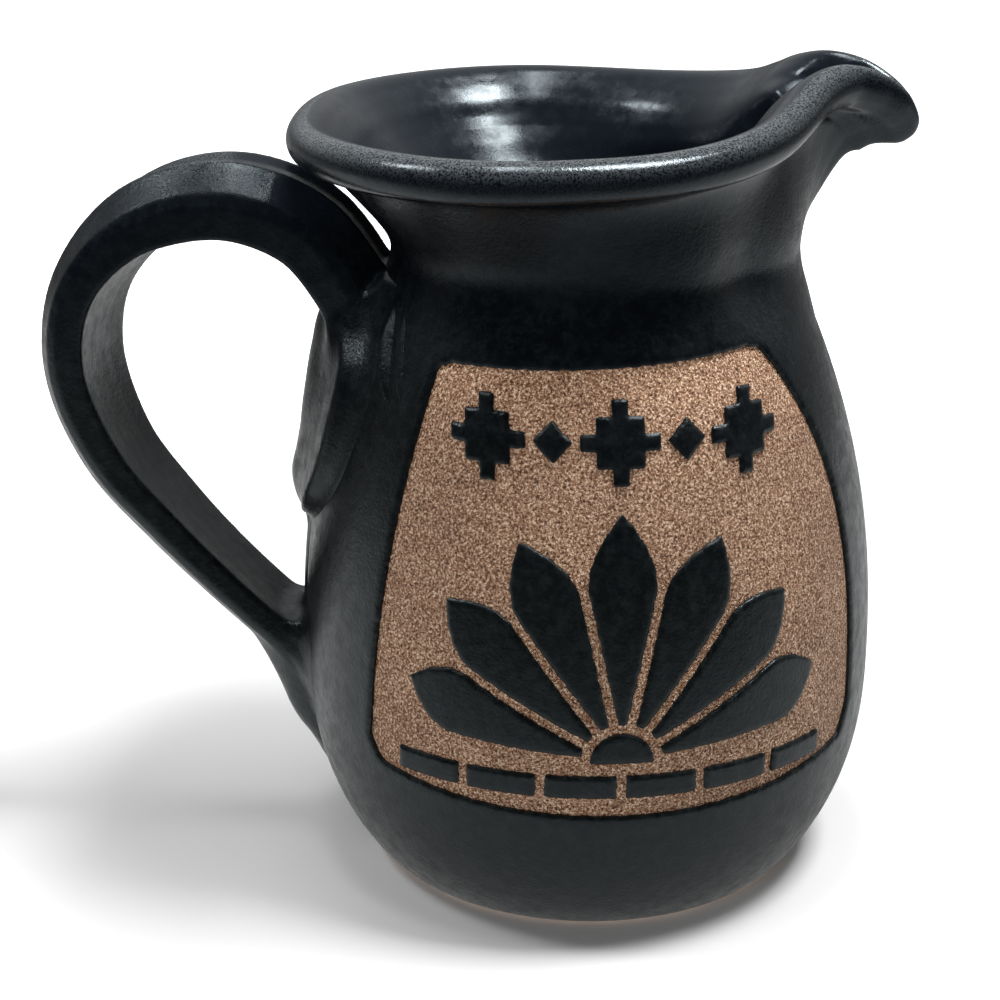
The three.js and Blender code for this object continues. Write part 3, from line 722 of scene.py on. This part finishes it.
def lozenge(k):
    x = (k - (LOZENGE_COUNT - 1) / 2) * LOZENGE_PITCH
    side = []
    for i in range(LOZENGE_STEPS):
        out, up = (LOZENGE_STEPS - i - 0.5) * LOZENGE_STEP, (i + 0.5) * LOZENGE_STEP
        if i:
            side.append((out, up - LOZENGE_STEP))
        side.append((out, up))
    upper = side + [(-a, b) for a, b in reversed(side)]
    points = upper + [(-a, -b) for a, b in upper]
    return [(x + a, LOZENGE_HEIGHT + b) for a, b in points]


def stud(k):
    x = (k - (LOZENGE_COUNT - 2) / 2) * LOZENGE_PITCH
    corners = [(STUD_SIZE, 0), (0, STUD_SIZE), (-STUD_SIZE, 0), (0, -STUD_SIZE)]
    return [(x + a, LOZENGE_HEIGHT + b) for a, b in corners]


# ---- Handle

HANDLE_STOPS = [
    (0.35, 0.6), (0.415, 0.73), (0.455, 0.83), (0.54, 0.945), (0.69, 1), (0.858, 0.95),
    (0.972, 0.808), (1, 0.63), (0.943, 0.43), (0.835, 0.27), (0.722, 0.132), (0.6, 0), (0.5, -0.1),
]
STRAP_THICKNESS = [
    (0, STRAP_TOP), (0.32, STRAP_TOP), (0.46, STRAP_BEND + 0.6), (0.62, STRAP_BEND),
    (0.85, STRAP_BELOW), (1, STRAP_BELOW),
]


def handle_path(count):
    """Evenly spaced points [x, z] on the strap's centre line, and its direction there."""
    stops = [np.array([-out * HANDLE_REACH, lerp(LOWER_JOINT, HANDLE_CROWN, up)])
             for out, up in HANDLE_STOPS]
    stops = [2 * stops[0] - stops[1]] + stops + [2 * stops[-1] - stops[-2]]
    fine = []
    t = np.linspace(0, 1, 60, endpoint=False)[:, None]
    for a, b, c, d in zip(stops, stops[1:], stops[2:], stops[3:]):
        g = [math.sqrt(np.hypot(*(q - p))) for p, q in ((a, b), (b, c), (c, d))]
        m1 = g[1] * ((b - a) / g[0] - (c - a) / (g[0] + g[1]) + (c - b) / g[1])
        m2 = g[1] * ((c - b) / g[1] - (d - b) / (g[1] + g[2]) + (d - c) / g[2])
        fine.append((2 * t**3 - 3 * t**2 + 1) * b + (t**3 - 2 * t**2 + t) * m1
                    + (3 * t**2 - 2 * t**3) * c + (t**3 - t**2) * m2)
    fine = np.concatenate(fine + [stops[-2][None]])
    length = np.concatenate([[0], np.cumsum(np.hypot(*np.diff(fine, axis=0).T))])
    at = np.linspace(0, length[-1], count)
    spots = np.stack([np.interp(at, length, fine[:, k]) for k in (0, 1)], -1)
    along = np.gradient(spots, axis=0)
    return spots, along / np.hypot(*along.T)[:, None]


def section_distance(across, out, w, t):
    """Distance from the strap's rounded section, negative inside it."""
    w, t = w - SECTION_SOFTNESS, t - SECTION_SOFTNESS
    half = [(0, t - GROOVE_DEPTH), (0.24 * w, t - 0.85 * GROOVE_DEPTH), (0.5 * w, t),
            (0.95 * w, 0.24 * t), (w, -0.1 * t), (0.93 * w, -t), (0.45 * w, PALM_DEPTH - t),
            (0, 1.3 * PALM_DEPTH - t)]
    ring = half + [(-a, b) for a, b in reversed(half[1:-1])]
    best = np.full(across.shape, 1e9, np.float32)
    side = np.ones(across.shape, np.int8)
    for (ax, ay), (bx, by) in zip(ring, ring[1:] + ring[:1]):
        ex, ey = bx - ax, by - ay
        px, py = across - ax, out - ay
        u = np.clip((px * ex + py * ey) / (ex * ex + ey * ey), 0, 1)
        best = np.minimum(best, (px - u * ex) ** 2 + (py - u * ey) ** 2)
        ay, by = ay + 0 * out, by + 0 * out
        above, below = out >= ay, out < by
        turn = ex * py - ey * px > 0
        flips = (above & below & turn) | (~above & ~below & ~turn)
        side = np.where(flips, -side, side)
    return side * np.sqrt(best) - SECTION_SOFTNESS


def soft_union(a, b, k):
    h = np.clip(0.5 + 0.5 * (b - a) / k, 0, 1)
    return lerp(b, a, h) - k * h * (1 - h)


# The tongue: half its width and its height over the wall, at heights up the wall
TONGUE_HALF = [
    (75, 0.5), (79, 9), (84, 15.5), (90, 20), (98, 22), (108, 22), (115, 20), (122, 14.5), (132, 13),
]
TONGUE_RISE = [
    (72, -4), (76, 0.5), (79, 3.2), (82, 4.8), (86, 6), (91, 5.9), (96, 6.1), (101, 6.8), (107, 7.6),
    (114, 8.6), (122, 9.3), (128, 7), (134, -4),
]
# Across it: shares of half its width and of its height
TONGUE_SECTION = [(0, 1), (0.25, 0.93), (0.5, 0.66), (0.72, 0.5), (1, 0.5), (1.3, 0.5)]


def tongue_field(body, y, z):
    """Distance from the tongue under the upper joint: scooped by a thumb, with raised edges."""
    half = np.maximum(through(TONGUE_HALF, z), 0.5)
    rise = through(TONGUE_RISE, z) * through(TONGUE_SECTION, np.abs(y) / half)
    return -soft_union(rise[None] - body, (half - np.abs(y))[None], TONGUE_SOFTNESS)


# The tail: its height over the wall, at heights up the wall
TAIL_RISE = [
    (9, 0), (18, 1.6), (21, 2.1), (24.3, 3.2), (27, 4.7), (31, 6), (36, 7), (39, 7.6), (43, 8.2),
    (46, 8.2), (50, 6), (55, 0),
]


def tail_rise(y, z):
    """How far the tail smeared out under the lower joint stands out of the wall."""
    v = np.clip((TAIL_TOP - z) / (TAIL_TOP - TAIL_TIP), 0, 1)
    a = np.abs(y) / np.maximum(TAIL_HALF * np.sqrt(1 - v * v), 1e-3)
    return np.where(a < 1, np.maximum(through(TAIL_RISE, z) * (1 - a**4), 0), 0)


# Ridges that the fingers left beside the upper joint: where each is at the top, and its height
RIDGES = [(-21.0, 1.3), (-25.2, 0.4)]
RIDGE_TOP, RIDGE_LEAN, RIDGE_WIDTH = 127, 0.65, 0.9


def finger_ridges(y, z):
    held = smooth(z, 110, 117) * (1 - smooth(z, 123, 129))
    total = np.zeros_like(y)
    for place, height in RIDGES:
        line = place - RIDGE_LEAN * (RIDGE_TOP - z)
        total += height * held * bump((y - line) / RIDGE_WIDTH)
    return total


def handle(material):
    """The strap, its tongue and its tail, joined softly with each other and with the wall."""
    step = HANDLE_STEP
    low, high = np.array(HANDLE_BOX)
    x, y, z = [np.arange(low[k], high[k], step, dtype=np.float32) for k in range(3)]
    spots, along = handle_path(300)
    px, pz = np.meshgrid(x, z, indexing="ij")
    flat = np.stack([px.ravel(), pz.ravel()], -1)
    nearest = np.empty(len(flat), int)
    for k in range(0, len(flat), 4000):
        gap = flat[k:k + 4000, None, :] - spots[None]
        nearest[k:k + 4000] = (gap**2).sum(-1).argmin(1)
    rest = flat - spots[nearest]
    outward = np.stack([along[:, 1], -along[:, 0]], -1)[nearest]
    out = (rest * outward).sum(-1).reshape(px.shape)
    past = (rest * along[nearest]).sum(-1).reshape(px.shape)
    s = (nearest / (len(spots) - 1)).reshape(px.shape)
    width = lerp(STRAP_WIDTH, STRAP_WIDTH_BELOW, smooth(s, 0.5, 0.9)) / 2
    thick = through(STRAP_THICKNESS, s) / 2
    twist = np.radians(STRAP_TWIST * bump((s - TWIST_PLACE) / TWIST_SPREAD))
    shape = (len(x), len(y), len(z))
    spread = lambda plane: np.broadcast_to(plane[:, None, :], shape).astype(np.float32)
    lift, aside = spread(out), np.broadcast_to(y[None, :, None], shape)
    cos, sin = spread(np.cos(twist)), spread(np.sin(twist))
    strap = section_distance(
        aside * cos - lift * sin, lift * cos + aside * sin, spread(width), spread(thick))
    strap = np.maximum(strap, spread(np.abs(past)) - 1)

    level = np.broadcast_to(z[None, None, :], shape)
    radius = np.hypot(np.broadcast_to(x[:, None, None], shape), aside)
    profile = outer_radius(z.astype(float))
    tilt = np.hypot(1, slope_of(outer_radius, z.astype(float)))
    body = (radius - profile[None, None, :]) / tilt[None, None, :]
    yz = np.meshgrid(y.astype(float), z.astype(float), indexing="ij")
    tail = tail_rise(*yz)
    tongue = tongue_field(body, *yz)
    padded = soft_union(tongue, body - (tail + finger_ridges(*yz))[None], TONGUE_FILLET)
    fillet = CROWN_FILLET + (JOINT_FILLET - CROWN_FILLET) * (1 - smooth(z.astype(float), *CROWN_SPAN))
    joined = soft_union(strap, padded, fillet[None, None, :])
    field = joined + PAD_SINK * (1 - smooth(body - joined, 0, 0.16))
    field = np.maximum(field, -(body + HANDLE_ROOT))
    near = np.minimum(np.minimum(strap, tongue), np.where(tail[None] > 0, 0, 30))
    field = np.maximum(field, near - PAD_RANGE)
    field = np.where(level > CROWN_SPAN[1], np.maximum(field, strap - 0.2), field)
    grid = openvdb.FloatGrid(3 * step)
    grid.copyFromArray(np.clip(field, -3 * step, 3 * step).astype(np.float32))
    points, quads = grid.convertToQuads()
    return make_object("strap_handle", points * step + low, [tuple(q) for q in quads], material)


# ---- Materials

GLAZE_DEEP, GLAZE_LIGHT = (0.0020, 0.0031, 0.0038), (0.0038, 0.0051, 0.0058)
GLAZE_MOTTLE = (0.0095, 0.0125, 0.0135)
# grey of the crust on the roll, also used as painted top light on up-facing glaze
GLAZE_CRUST_AND_TOP_LIGHT = (0.10, 0.112, 0.12)
GLAZE_BLUE = (0.0024, 0.0046, 0.0098)
GLAZE_BOWL = (0.009, 0.0125, 0.0185)
GLAZE_SHINE = (0.82, 0.95, 1.0, 1)
CLAY_GRAINS = [(0.39, (0.05, 0.022, 0.011)), (0.46, (0.26, 0.130, 0.072)),
               (0.53, (0.45, 0.260, 0.155)), (0.61, (0.88, 0.70, 0.52))]
CLAY_STAIN = [(0.35, (0.84, 0.82, 0.82)), (0.65, (1.0, 1.0, 1.0))]


class Nodes:
    """A small helper for building the node tree of a material or of the world."""

    def __init__(self, owner, empty=False):
        owner.use_nodes = True
        self.owner = owner
        self.tree = owner.node_tree
        if empty:
            self.tree.nodes.clear()
        else:
            self.shader = self.tree.nodes["Principled BSDF"]
            self.place = self.add("ShaderNodeTexCoord").outputs["Object"]

    def add(self, kind, **values):
        node = self.tree.nodes.new(kind)
        for key, value in values.items():
            setattr(node, key, value)
        return node

    def link(self, out, into):
        self.tree.links.new(out, into)

    def noise(self, scale, detail=4.0, rough=0.55, warp=0.0):
        node = self.add("ShaderNodeTexNoise")
        self.link(self.place, node.inputs["Vector"])
        node.inputs["Scale"].default_value = scale
        node.inputs["Detail"].default_value = detail
        node.inputs["Roughness"].default_value = rough
        node.inputs["Distortion"].default_value = warp
        return node.outputs["Fac"]

    def ramp(self, fac, *stops):
        node = self.add("ShaderNodeValToRGB")
        self.link(fac, node.inputs["Fac"])
        elements = node.color_ramp.elements
        while len(elements) < len(stops):
            elements.new(0.5)
        for element, (at, colour) in zip(elements, stops):
            element.position = at
            element.color = (*colour, 1)
        return node.outputs["Color"]

    def math(self, operation, a, b, c=None, clamp=False):
        node = self.add("ShaderNodeMath", operation=operation, use_clamp=clamp)
        for k, value in enumerate((a, b, c)):
            if isinstance(value, (int, float)):
                node.inputs[k].default_value = value
            elif value is not None:
                self.link(value, node.inputs[k])
        return node.outputs[0]

    def times(self, a, b):
        return self.math("MULTIPLY", a, b)

    def mix(self, fac, a, b, kind="MIX"):
        node = self.add("ShaderNodeMix", data_type="RGBA", blend_type=kind)
        for value, socket in ((fac, node.inputs[0]), (a, node.inputs[6]), (b, node.inputs[7])):
            if isinstance(value, tuple):
                socket.default_value = (*value, 1)
            elif isinstance(value, (int, float)):
                socket.default_value = value
            else:
                self.link(value, socket)
        return node.outputs[2]

    def span(self, value, low, high, to_low=0.0, to_high=1.0):
        node = self.add("ShaderNodeMapRange", interpolation_type="SMOOTHSTEP")
        self.link(value, node.inputs["Value"])
        limits = {"From Min": low, "From Max": high, "To Min": to_low, "To Max": to_high}
        for key, number in limits.items():
            node.inputs[key].default_value = number
        return node.outputs["Result"]

    def vector(self, operation, a, b=None):
        node = self.add("ShaderNodeVectorMath", operation=operation)
        for k, value in enumerate((a, b)):
            if isinstance(value, tuple):
                node.inputs[k].default_value = value
            elif value is not None:
                self.link(value, node.inputs[k])
        return node

    def split(self, vector):
        node = self.add("ShaderNodeSeparateXYZ")
        self.link(vector, node.inputs[0])
        return node.outputs

    def bump(self, height, strength, distance, before=None):
        node = self.add("ShaderNodeBump")
        node.inputs["Strength"].default_value = strength
        node.inputs["Distance"].default_value = distance
        self.link(height, node.inputs["Height"])
        if before:
            self.link(before, node.inputs["Normal"])
        return node.outputs["Normal"]

    def chosen(self, fac, shader, other):
        """One shader's output where the factor is 0, and the other's where it is 1."""
        node = self.add("ShaderNodeMixShader")
        for value, socket in zip((fac, shader, other), node.inputs):
            self.link(value, socket)
        return node.outputs[0]


def glaze_material():
    """Satin black glaze: mottled, crusted on the roll, glossy in the bowl; painted top light greys the
    crust and specks where it faces up, and painted shade dims its reflection under the rim.
    """
    n = Nodes(bpy.data.materials.new("black_glaze"))
    height = n.split(n.place)[2]
    normal = n.add("ShaderNodeNewGeometry").outputs["Normal"]
    facing_up = n.span(n.split(normal)[2], 0.0, 0.95)
    from_axis = n.vector("MULTIPLY", n.place, (1, 1, 0)).outputs["Vector"]
    outwards = n.vector("DOT_PRODUCT", from_axis, normal).outputs["Value"]
    broad = n.noise(26, 3, 0.5, 0.6)
    mottle = n.noise(420, 5, 0.62)
    grain = n.noise(1300, 3, 0.65)
    base = n.mix(broad, GLAZE_DEEP, GLAZE_LIGHT)
    base = n.mix(n.span(mottle, 0.42, 0.68, 0, 0.6), base, GLAZE_MOTTLE)
    rim = n.span(height, 0.146, 0.158)
    bowl = n.times(n.span(height, 0.135, 0.15), n.span(outwards, 0.002, -0.012))
    roll = n.times(rim, n.span(outwards, -0.014, 0.002))
    crust_and_top_light = n.times(n.span(n.noise(2500, 2, 0.6), 0.36, 0.58), roll)
    speck = n.times(n.span(grain, 0.44, 0.60), n.times(n.span(mottle, 0.34, 0.56), 0.12))
    # painted top light: the crust and specks show more where the glaze faces up, so those faces read
    # greyer
    painted_top_light = n.math("MULTIPLY_ADD", facing_up, 0.85, 0.15)
    crust_and_top_light = n.math("MULTIPLY", n.math("MAXIMUM", crust_and_top_light, speck), painted_top_light, clamp=True)
    base = n.mix(crust_and_top_light, base, GLAZE_CRUST_AND_TOP_LIGHT)
    blue = n.times(n.span(height, 0.09, 0.165), 0.55)
    base = n.mix(n.times(blue, n.math("SUBTRACT", 1.0, crust_and_top_light)), base, GLAZE_BLUE)
    base = n.mix(n.times(bowl, 0.7), base, GLAZE_BOWL)
    n.link(base, n.shader.inputs["Base Color"])
    rough = n.span(n.noise(300, 4, 0.6), 0.3, 0.7, 0.27, 0.42)
    rough = n.math("SUBTRACT", rough, n.times(bowl, 0.12))
    rough = n.math("SUBTRACT", rough, n.times(roll, 0.16))
    n.link(rough, n.shader.inputs["Roughness"])
    # painted shade: the glaze reflects less on the neck under the rim, on the handle's side
    painted_shade_under_rim = n.times(n.span(height, 0.122, 0.134), n.span(height, 0.158, 0.152))
    painted_shade_under_rim = n.times(painted_shade_under_rim, n.span(n.split(n.place)[0], 0.034, 0.004))
    n.link(n.math("MULTIPLY_ADD", painted_shade_under_rim, -0.24, 0.5), n.shader.inputs["Specular IOR Level"])
    even = n.math("MAXIMUM", n.times(bowl, 0.8), n.times(roll, 0.5))
    uneven = n.math("SUBTRACT", 1.0, even)
    fine = n.bump(n.times(grain, uneven), 0.38, 0.00028)
    soft = n.bump(n.times(mottle, uneven), 0.30, 0.00032, fine)
    n.link(n.bump(broad, 0.2, 0.0010, soft), n.shader.inputs["Normal"])
    n.shader.inputs["IOR"].default_value = 1.46
    n.shader.inputs["Specular Tint"].default_value = GLAZE_SHINE
    return n.owner


def clay_material():
    """Brown stoneware, sandblasted to a matte sparkle of light and dark grains, with painted light that
    makes it lightest at the top.
    """
    n = Nodes(bpy.data.materials.new("brown_clay"))
    grain = n.noise(1900, 2.5, 0.7)
    second = n.noise(3600, 1.5, 0.6)
    broad = n.noise(55, 3, 0.5)
    both = n.math("MULTIPLY_ADD", second, 0.35, n.times(grain, 0.65))
    colour = n.mix(1.0, n.ramp(both, *CLAY_GRAINS), n.ramp(broad, *CLAY_STAIN), "MULTIPLY")
    # painted light: the clay's colour is raised towards the top of the panel
    painted_light_at_top = n.span(n.split(n.place)[2], 0.098, 0.122, 0.97, 1.4)
    n.link(n.mix(1.0, colour, painted_light_at_top, "MULTIPLY"), n.shader.inputs["Base Color"])
    n.link(n.span(grain, 0.4, 0.65, 0.85, 0.5), n.shader.inputs["Roughness"])
    n.link(n.bump(both, 0.9, 0.0006), n.shader.inputs["Normal"])
    return n.owner


# ---- The part

glaze = glaze_material()
clay = clay_material()

coat = glaze_coat(glaze)
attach(coat, "root")
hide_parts("outer_glaze", "liner_glaze")

vessel = clay_body(clay)
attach(vessel, "root")
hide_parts("vessel_clay")

strap = handle(glaze)
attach(strap, "root")
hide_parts("handle_glaze", "handle_clay")

for k in range(LEAF_COUNT):
    island(f"leaf_{k + 1}", leaf(k), 100 + k, glaze)
island("fan_heart", heart(), 120, glaze)
for k in range(BLOCK_COUNT):
    island(f"block_{k + 1}", block(k), 130 + k, glaze)
for k in range(LOZENGE_COUNT):
    island(f"lozenge_{k + 1}", lozenge(k), 140 + k, glaze)
for k in range(LOZENGE_COUNT - 1):
    island(f"stud_{k + 1}", stud(k), 150 + k, glaze)


# ---- Stage, camera and lights

FLOOR_SIZE = 6.0
FLOOR_WHITE = 0.9  # for the camera
FLOOR_DIM = 0.05  # for other rays, to which the floor glows instead
FLOOR_FAR = (0.19, 0.42)  # distances between which the sweep turns from lit paper to plain white
FLOOR_END = (0.35, 0.85)  # distances between which the sweep ends for the mirror image
FLOOR_FOOT = (0.05, 0.12)  # distances between which the pitcher's shadow fades from its mirror image
FLOOR_DEPTH = (-0.30, 0.0)  # depths between which its mirror image brightens
FLOOR_MIRROR = (0.02, 0.85)
FLOOR_BOUNCE = 0.7  # light that the white floor throws back on the clay


def floor():
    """A white sweep that carries the shadow; for the glaze it glows bright behind and dim in front,
    with a painted shadow round the foot.
    """
    mesh = bpy.data.meshes.new("floor")
    turns = ((-1, -1), (1, -1), (1, 1), (-1, 1))
    mesh.from_pydata([(FLOOR_SIZE * x, FLOOR_SIZE * y, 0) for x, y in turns], [], [(0, 1, 2, 3)])
    obj = bpy.data.objects.new("floor", mesh)
    bpy.context.collection.objects.link(obj)
    n = Nodes(bpy.data.materials.new("white_floor"), empty=True)
    ray = n.add("ShaderNodeLightPath").outputs
    place = n.add("ShaderNodeNewGeometry").outputs["Position"]
    away = n.vector("LENGTH", place).outputs["Value"]

    def lit(albedo, glow):
        diffuse = n.add("ShaderNodeBsdfDiffuse")
        diffuse.inputs["Color"].default_value = (albedo, albedo, albedo, 1)
        light = n.add("ShaderNodeEmission")
        n.link(glow, light.inputs["Strength"])
        total = n.add("ShaderNodeAddShader")
        n.link(diffuse.outputs[0], total.inputs[0])
        n.link(light.outputs[0], total.inputs[1])
        return total.outputs[0]

    mirrored = n.span(n.split(place)[1], *FLOOR_DEPTH, *FLOOR_MIRROR)
    # painted shadow: the floor's glow in reflections is halved near the pitcher's foot
    mirrored = n.times(mirrored, n.span(away, *FLOOR_FOOT, 0.5, 1))
    mirrored = n.times(mirrored, n.span(away, *FLOOR_END, 1, 0.3))
    mirrored = n.times(ray["Is Glossy Ray"], mirrored)
    bounced = n.math("MULTIPLY_ADD", ray["Is Diffuse Ray"], FLOOR_BOUNCE, mirrored)
    seen = lit(FLOOR_WHITE, n.span(away, *FLOOR_FAR))
    surface = n.chosen(ray["Is Camera Ray"], lit(FLOOR_DIM, bounced), seen)
    n.link(surface, n.add("ShaderNodeOutputMaterial").inputs["Surface"])
    mesh.materials.append(n.owner)


floor()

ROOM_DEPTH = (-0.4, 0.7)
ROOM_LIGHT = (0.012, 0.75)
ROOM_HEIGHT = (0.02, 0.4)
ROOM_HORIZON = 0.22  # share of the light that the room keeps down at its horizon


def world():
    """A white room: bright behind and beside the object, dim low down and on the camera's side."""
    n = Nodes(bpy.data.worlds.new("room"), empty=True)
    bpy.context.scene.world = n.owner
    room = n.add("ShaderNodeBackground")
    white = n.add("ShaderNodeBackground")
    white.inputs["Color"].default_value = (1, 1, 1, 1)
    direction = n.split(n.add("ShaderNodeTexCoord").outputs["Generated"])
    level = n.span(direction[1], *ROOM_DEPTH, *ROOM_LIGHT)
    level = n.times(level, n.span(direction[2], *ROOM_HEIGHT, ROOM_HORIZON, 1))
    n.link(level, room.inputs["Strength"])
    to_camera = n.add("ShaderNodeLightPath").outputs["Is Camera Ray"]
    surface = n.chosen(to_camera, room.outputs[0], white.outputs[0])
    n.link(surface, n.add("ShaderNodeOutputWorld").inputs["Surface"])


world()


def lamp(name, place, target, size, power, mirrored=True):
    data = bpy.data.lights.new(name, "AREA")
    data.shape = "RECTANGLE"
    data.size, data.size_y = size
    data.energy = power
    obj = bpy.data.objects.new(name, data)
    obj.location = place
    obj.rotation_euler = (Vector(target) - Vector(place)).to_track_quat("-Z", "Y").to_euler()
    obj.visible_glossy = mirrored
    bpy.context.collection.objects.link(obj)


lamp("key", (0.42, -0.06, 1.2), (0, 0, 0.1), (0.32, 0.32), 14)
lamp("strip", (-0.07, 0.0, 1.3), (0, 0, 0.1), (0.56, 0.22), 4.4)
lamp("fill", (-0.45, -1.3, 0.5), (0, 0, 0.08), (0.9, 0.6), 6.5, mirrored=False)
lamp("soft_left", (-0.66, -0.06, 0.95), (0, 0, 0.1), (0.2, 0.2), 3.0)

CAMERA_PLACE = (0.0, -0.44171, 0.24242)
CAMERA_PITCH, CAMERA_YAW, CAMERA_ROLL = (math.radians(a) for a in (20.362, -2.5035, -0.1195))
CAMERA_FOCUS = 2134.2 / 1000  # focal length as a share of the frame's width
CAMERA_SENSOR = 36.0
CAMERA_NEAR = 0.01


def camera():
    data = bpy.data.cameras.new("camera")
    data.sensor_width = CAMERA_SENSOR
    data.lens = CAMERA_SENSOR * CAMERA_FOCUS
    data.clip_start = CAMERA_NEAR
    obj = bpy.data.objects.new("camera", data)
    forward = Vector((math.sin(CAMERA_YAW) * math.cos(CAMERA_PITCH),
                      math.cos(CAMERA_YAW) * math.cos(CAMERA_PITCH), -math.sin(CAMERA_PITCH)))
    right = Vector((math.cos(CAMERA_YAW), -math.sin(CAMERA_YAW), 0))
    up = right.cross(forward)
    cos, sin = math.cos(CAMERA_ROLL), math.sin(CAMERA_ROLL)
    right, up = right * cos + up * sin, up * cos - right * sin
    turn = Matrix((right, up, -forward)).transposed().to_4x4()
    obj.matrix_world = Matrix.Translation(CAMERA_PLACE) @ turn
    bpy.context.collection.objects.link(obj)
    bpy.context.scene.camera = obj


camera()
bpy.context.scene.view_settings.view_transform = "Standard"
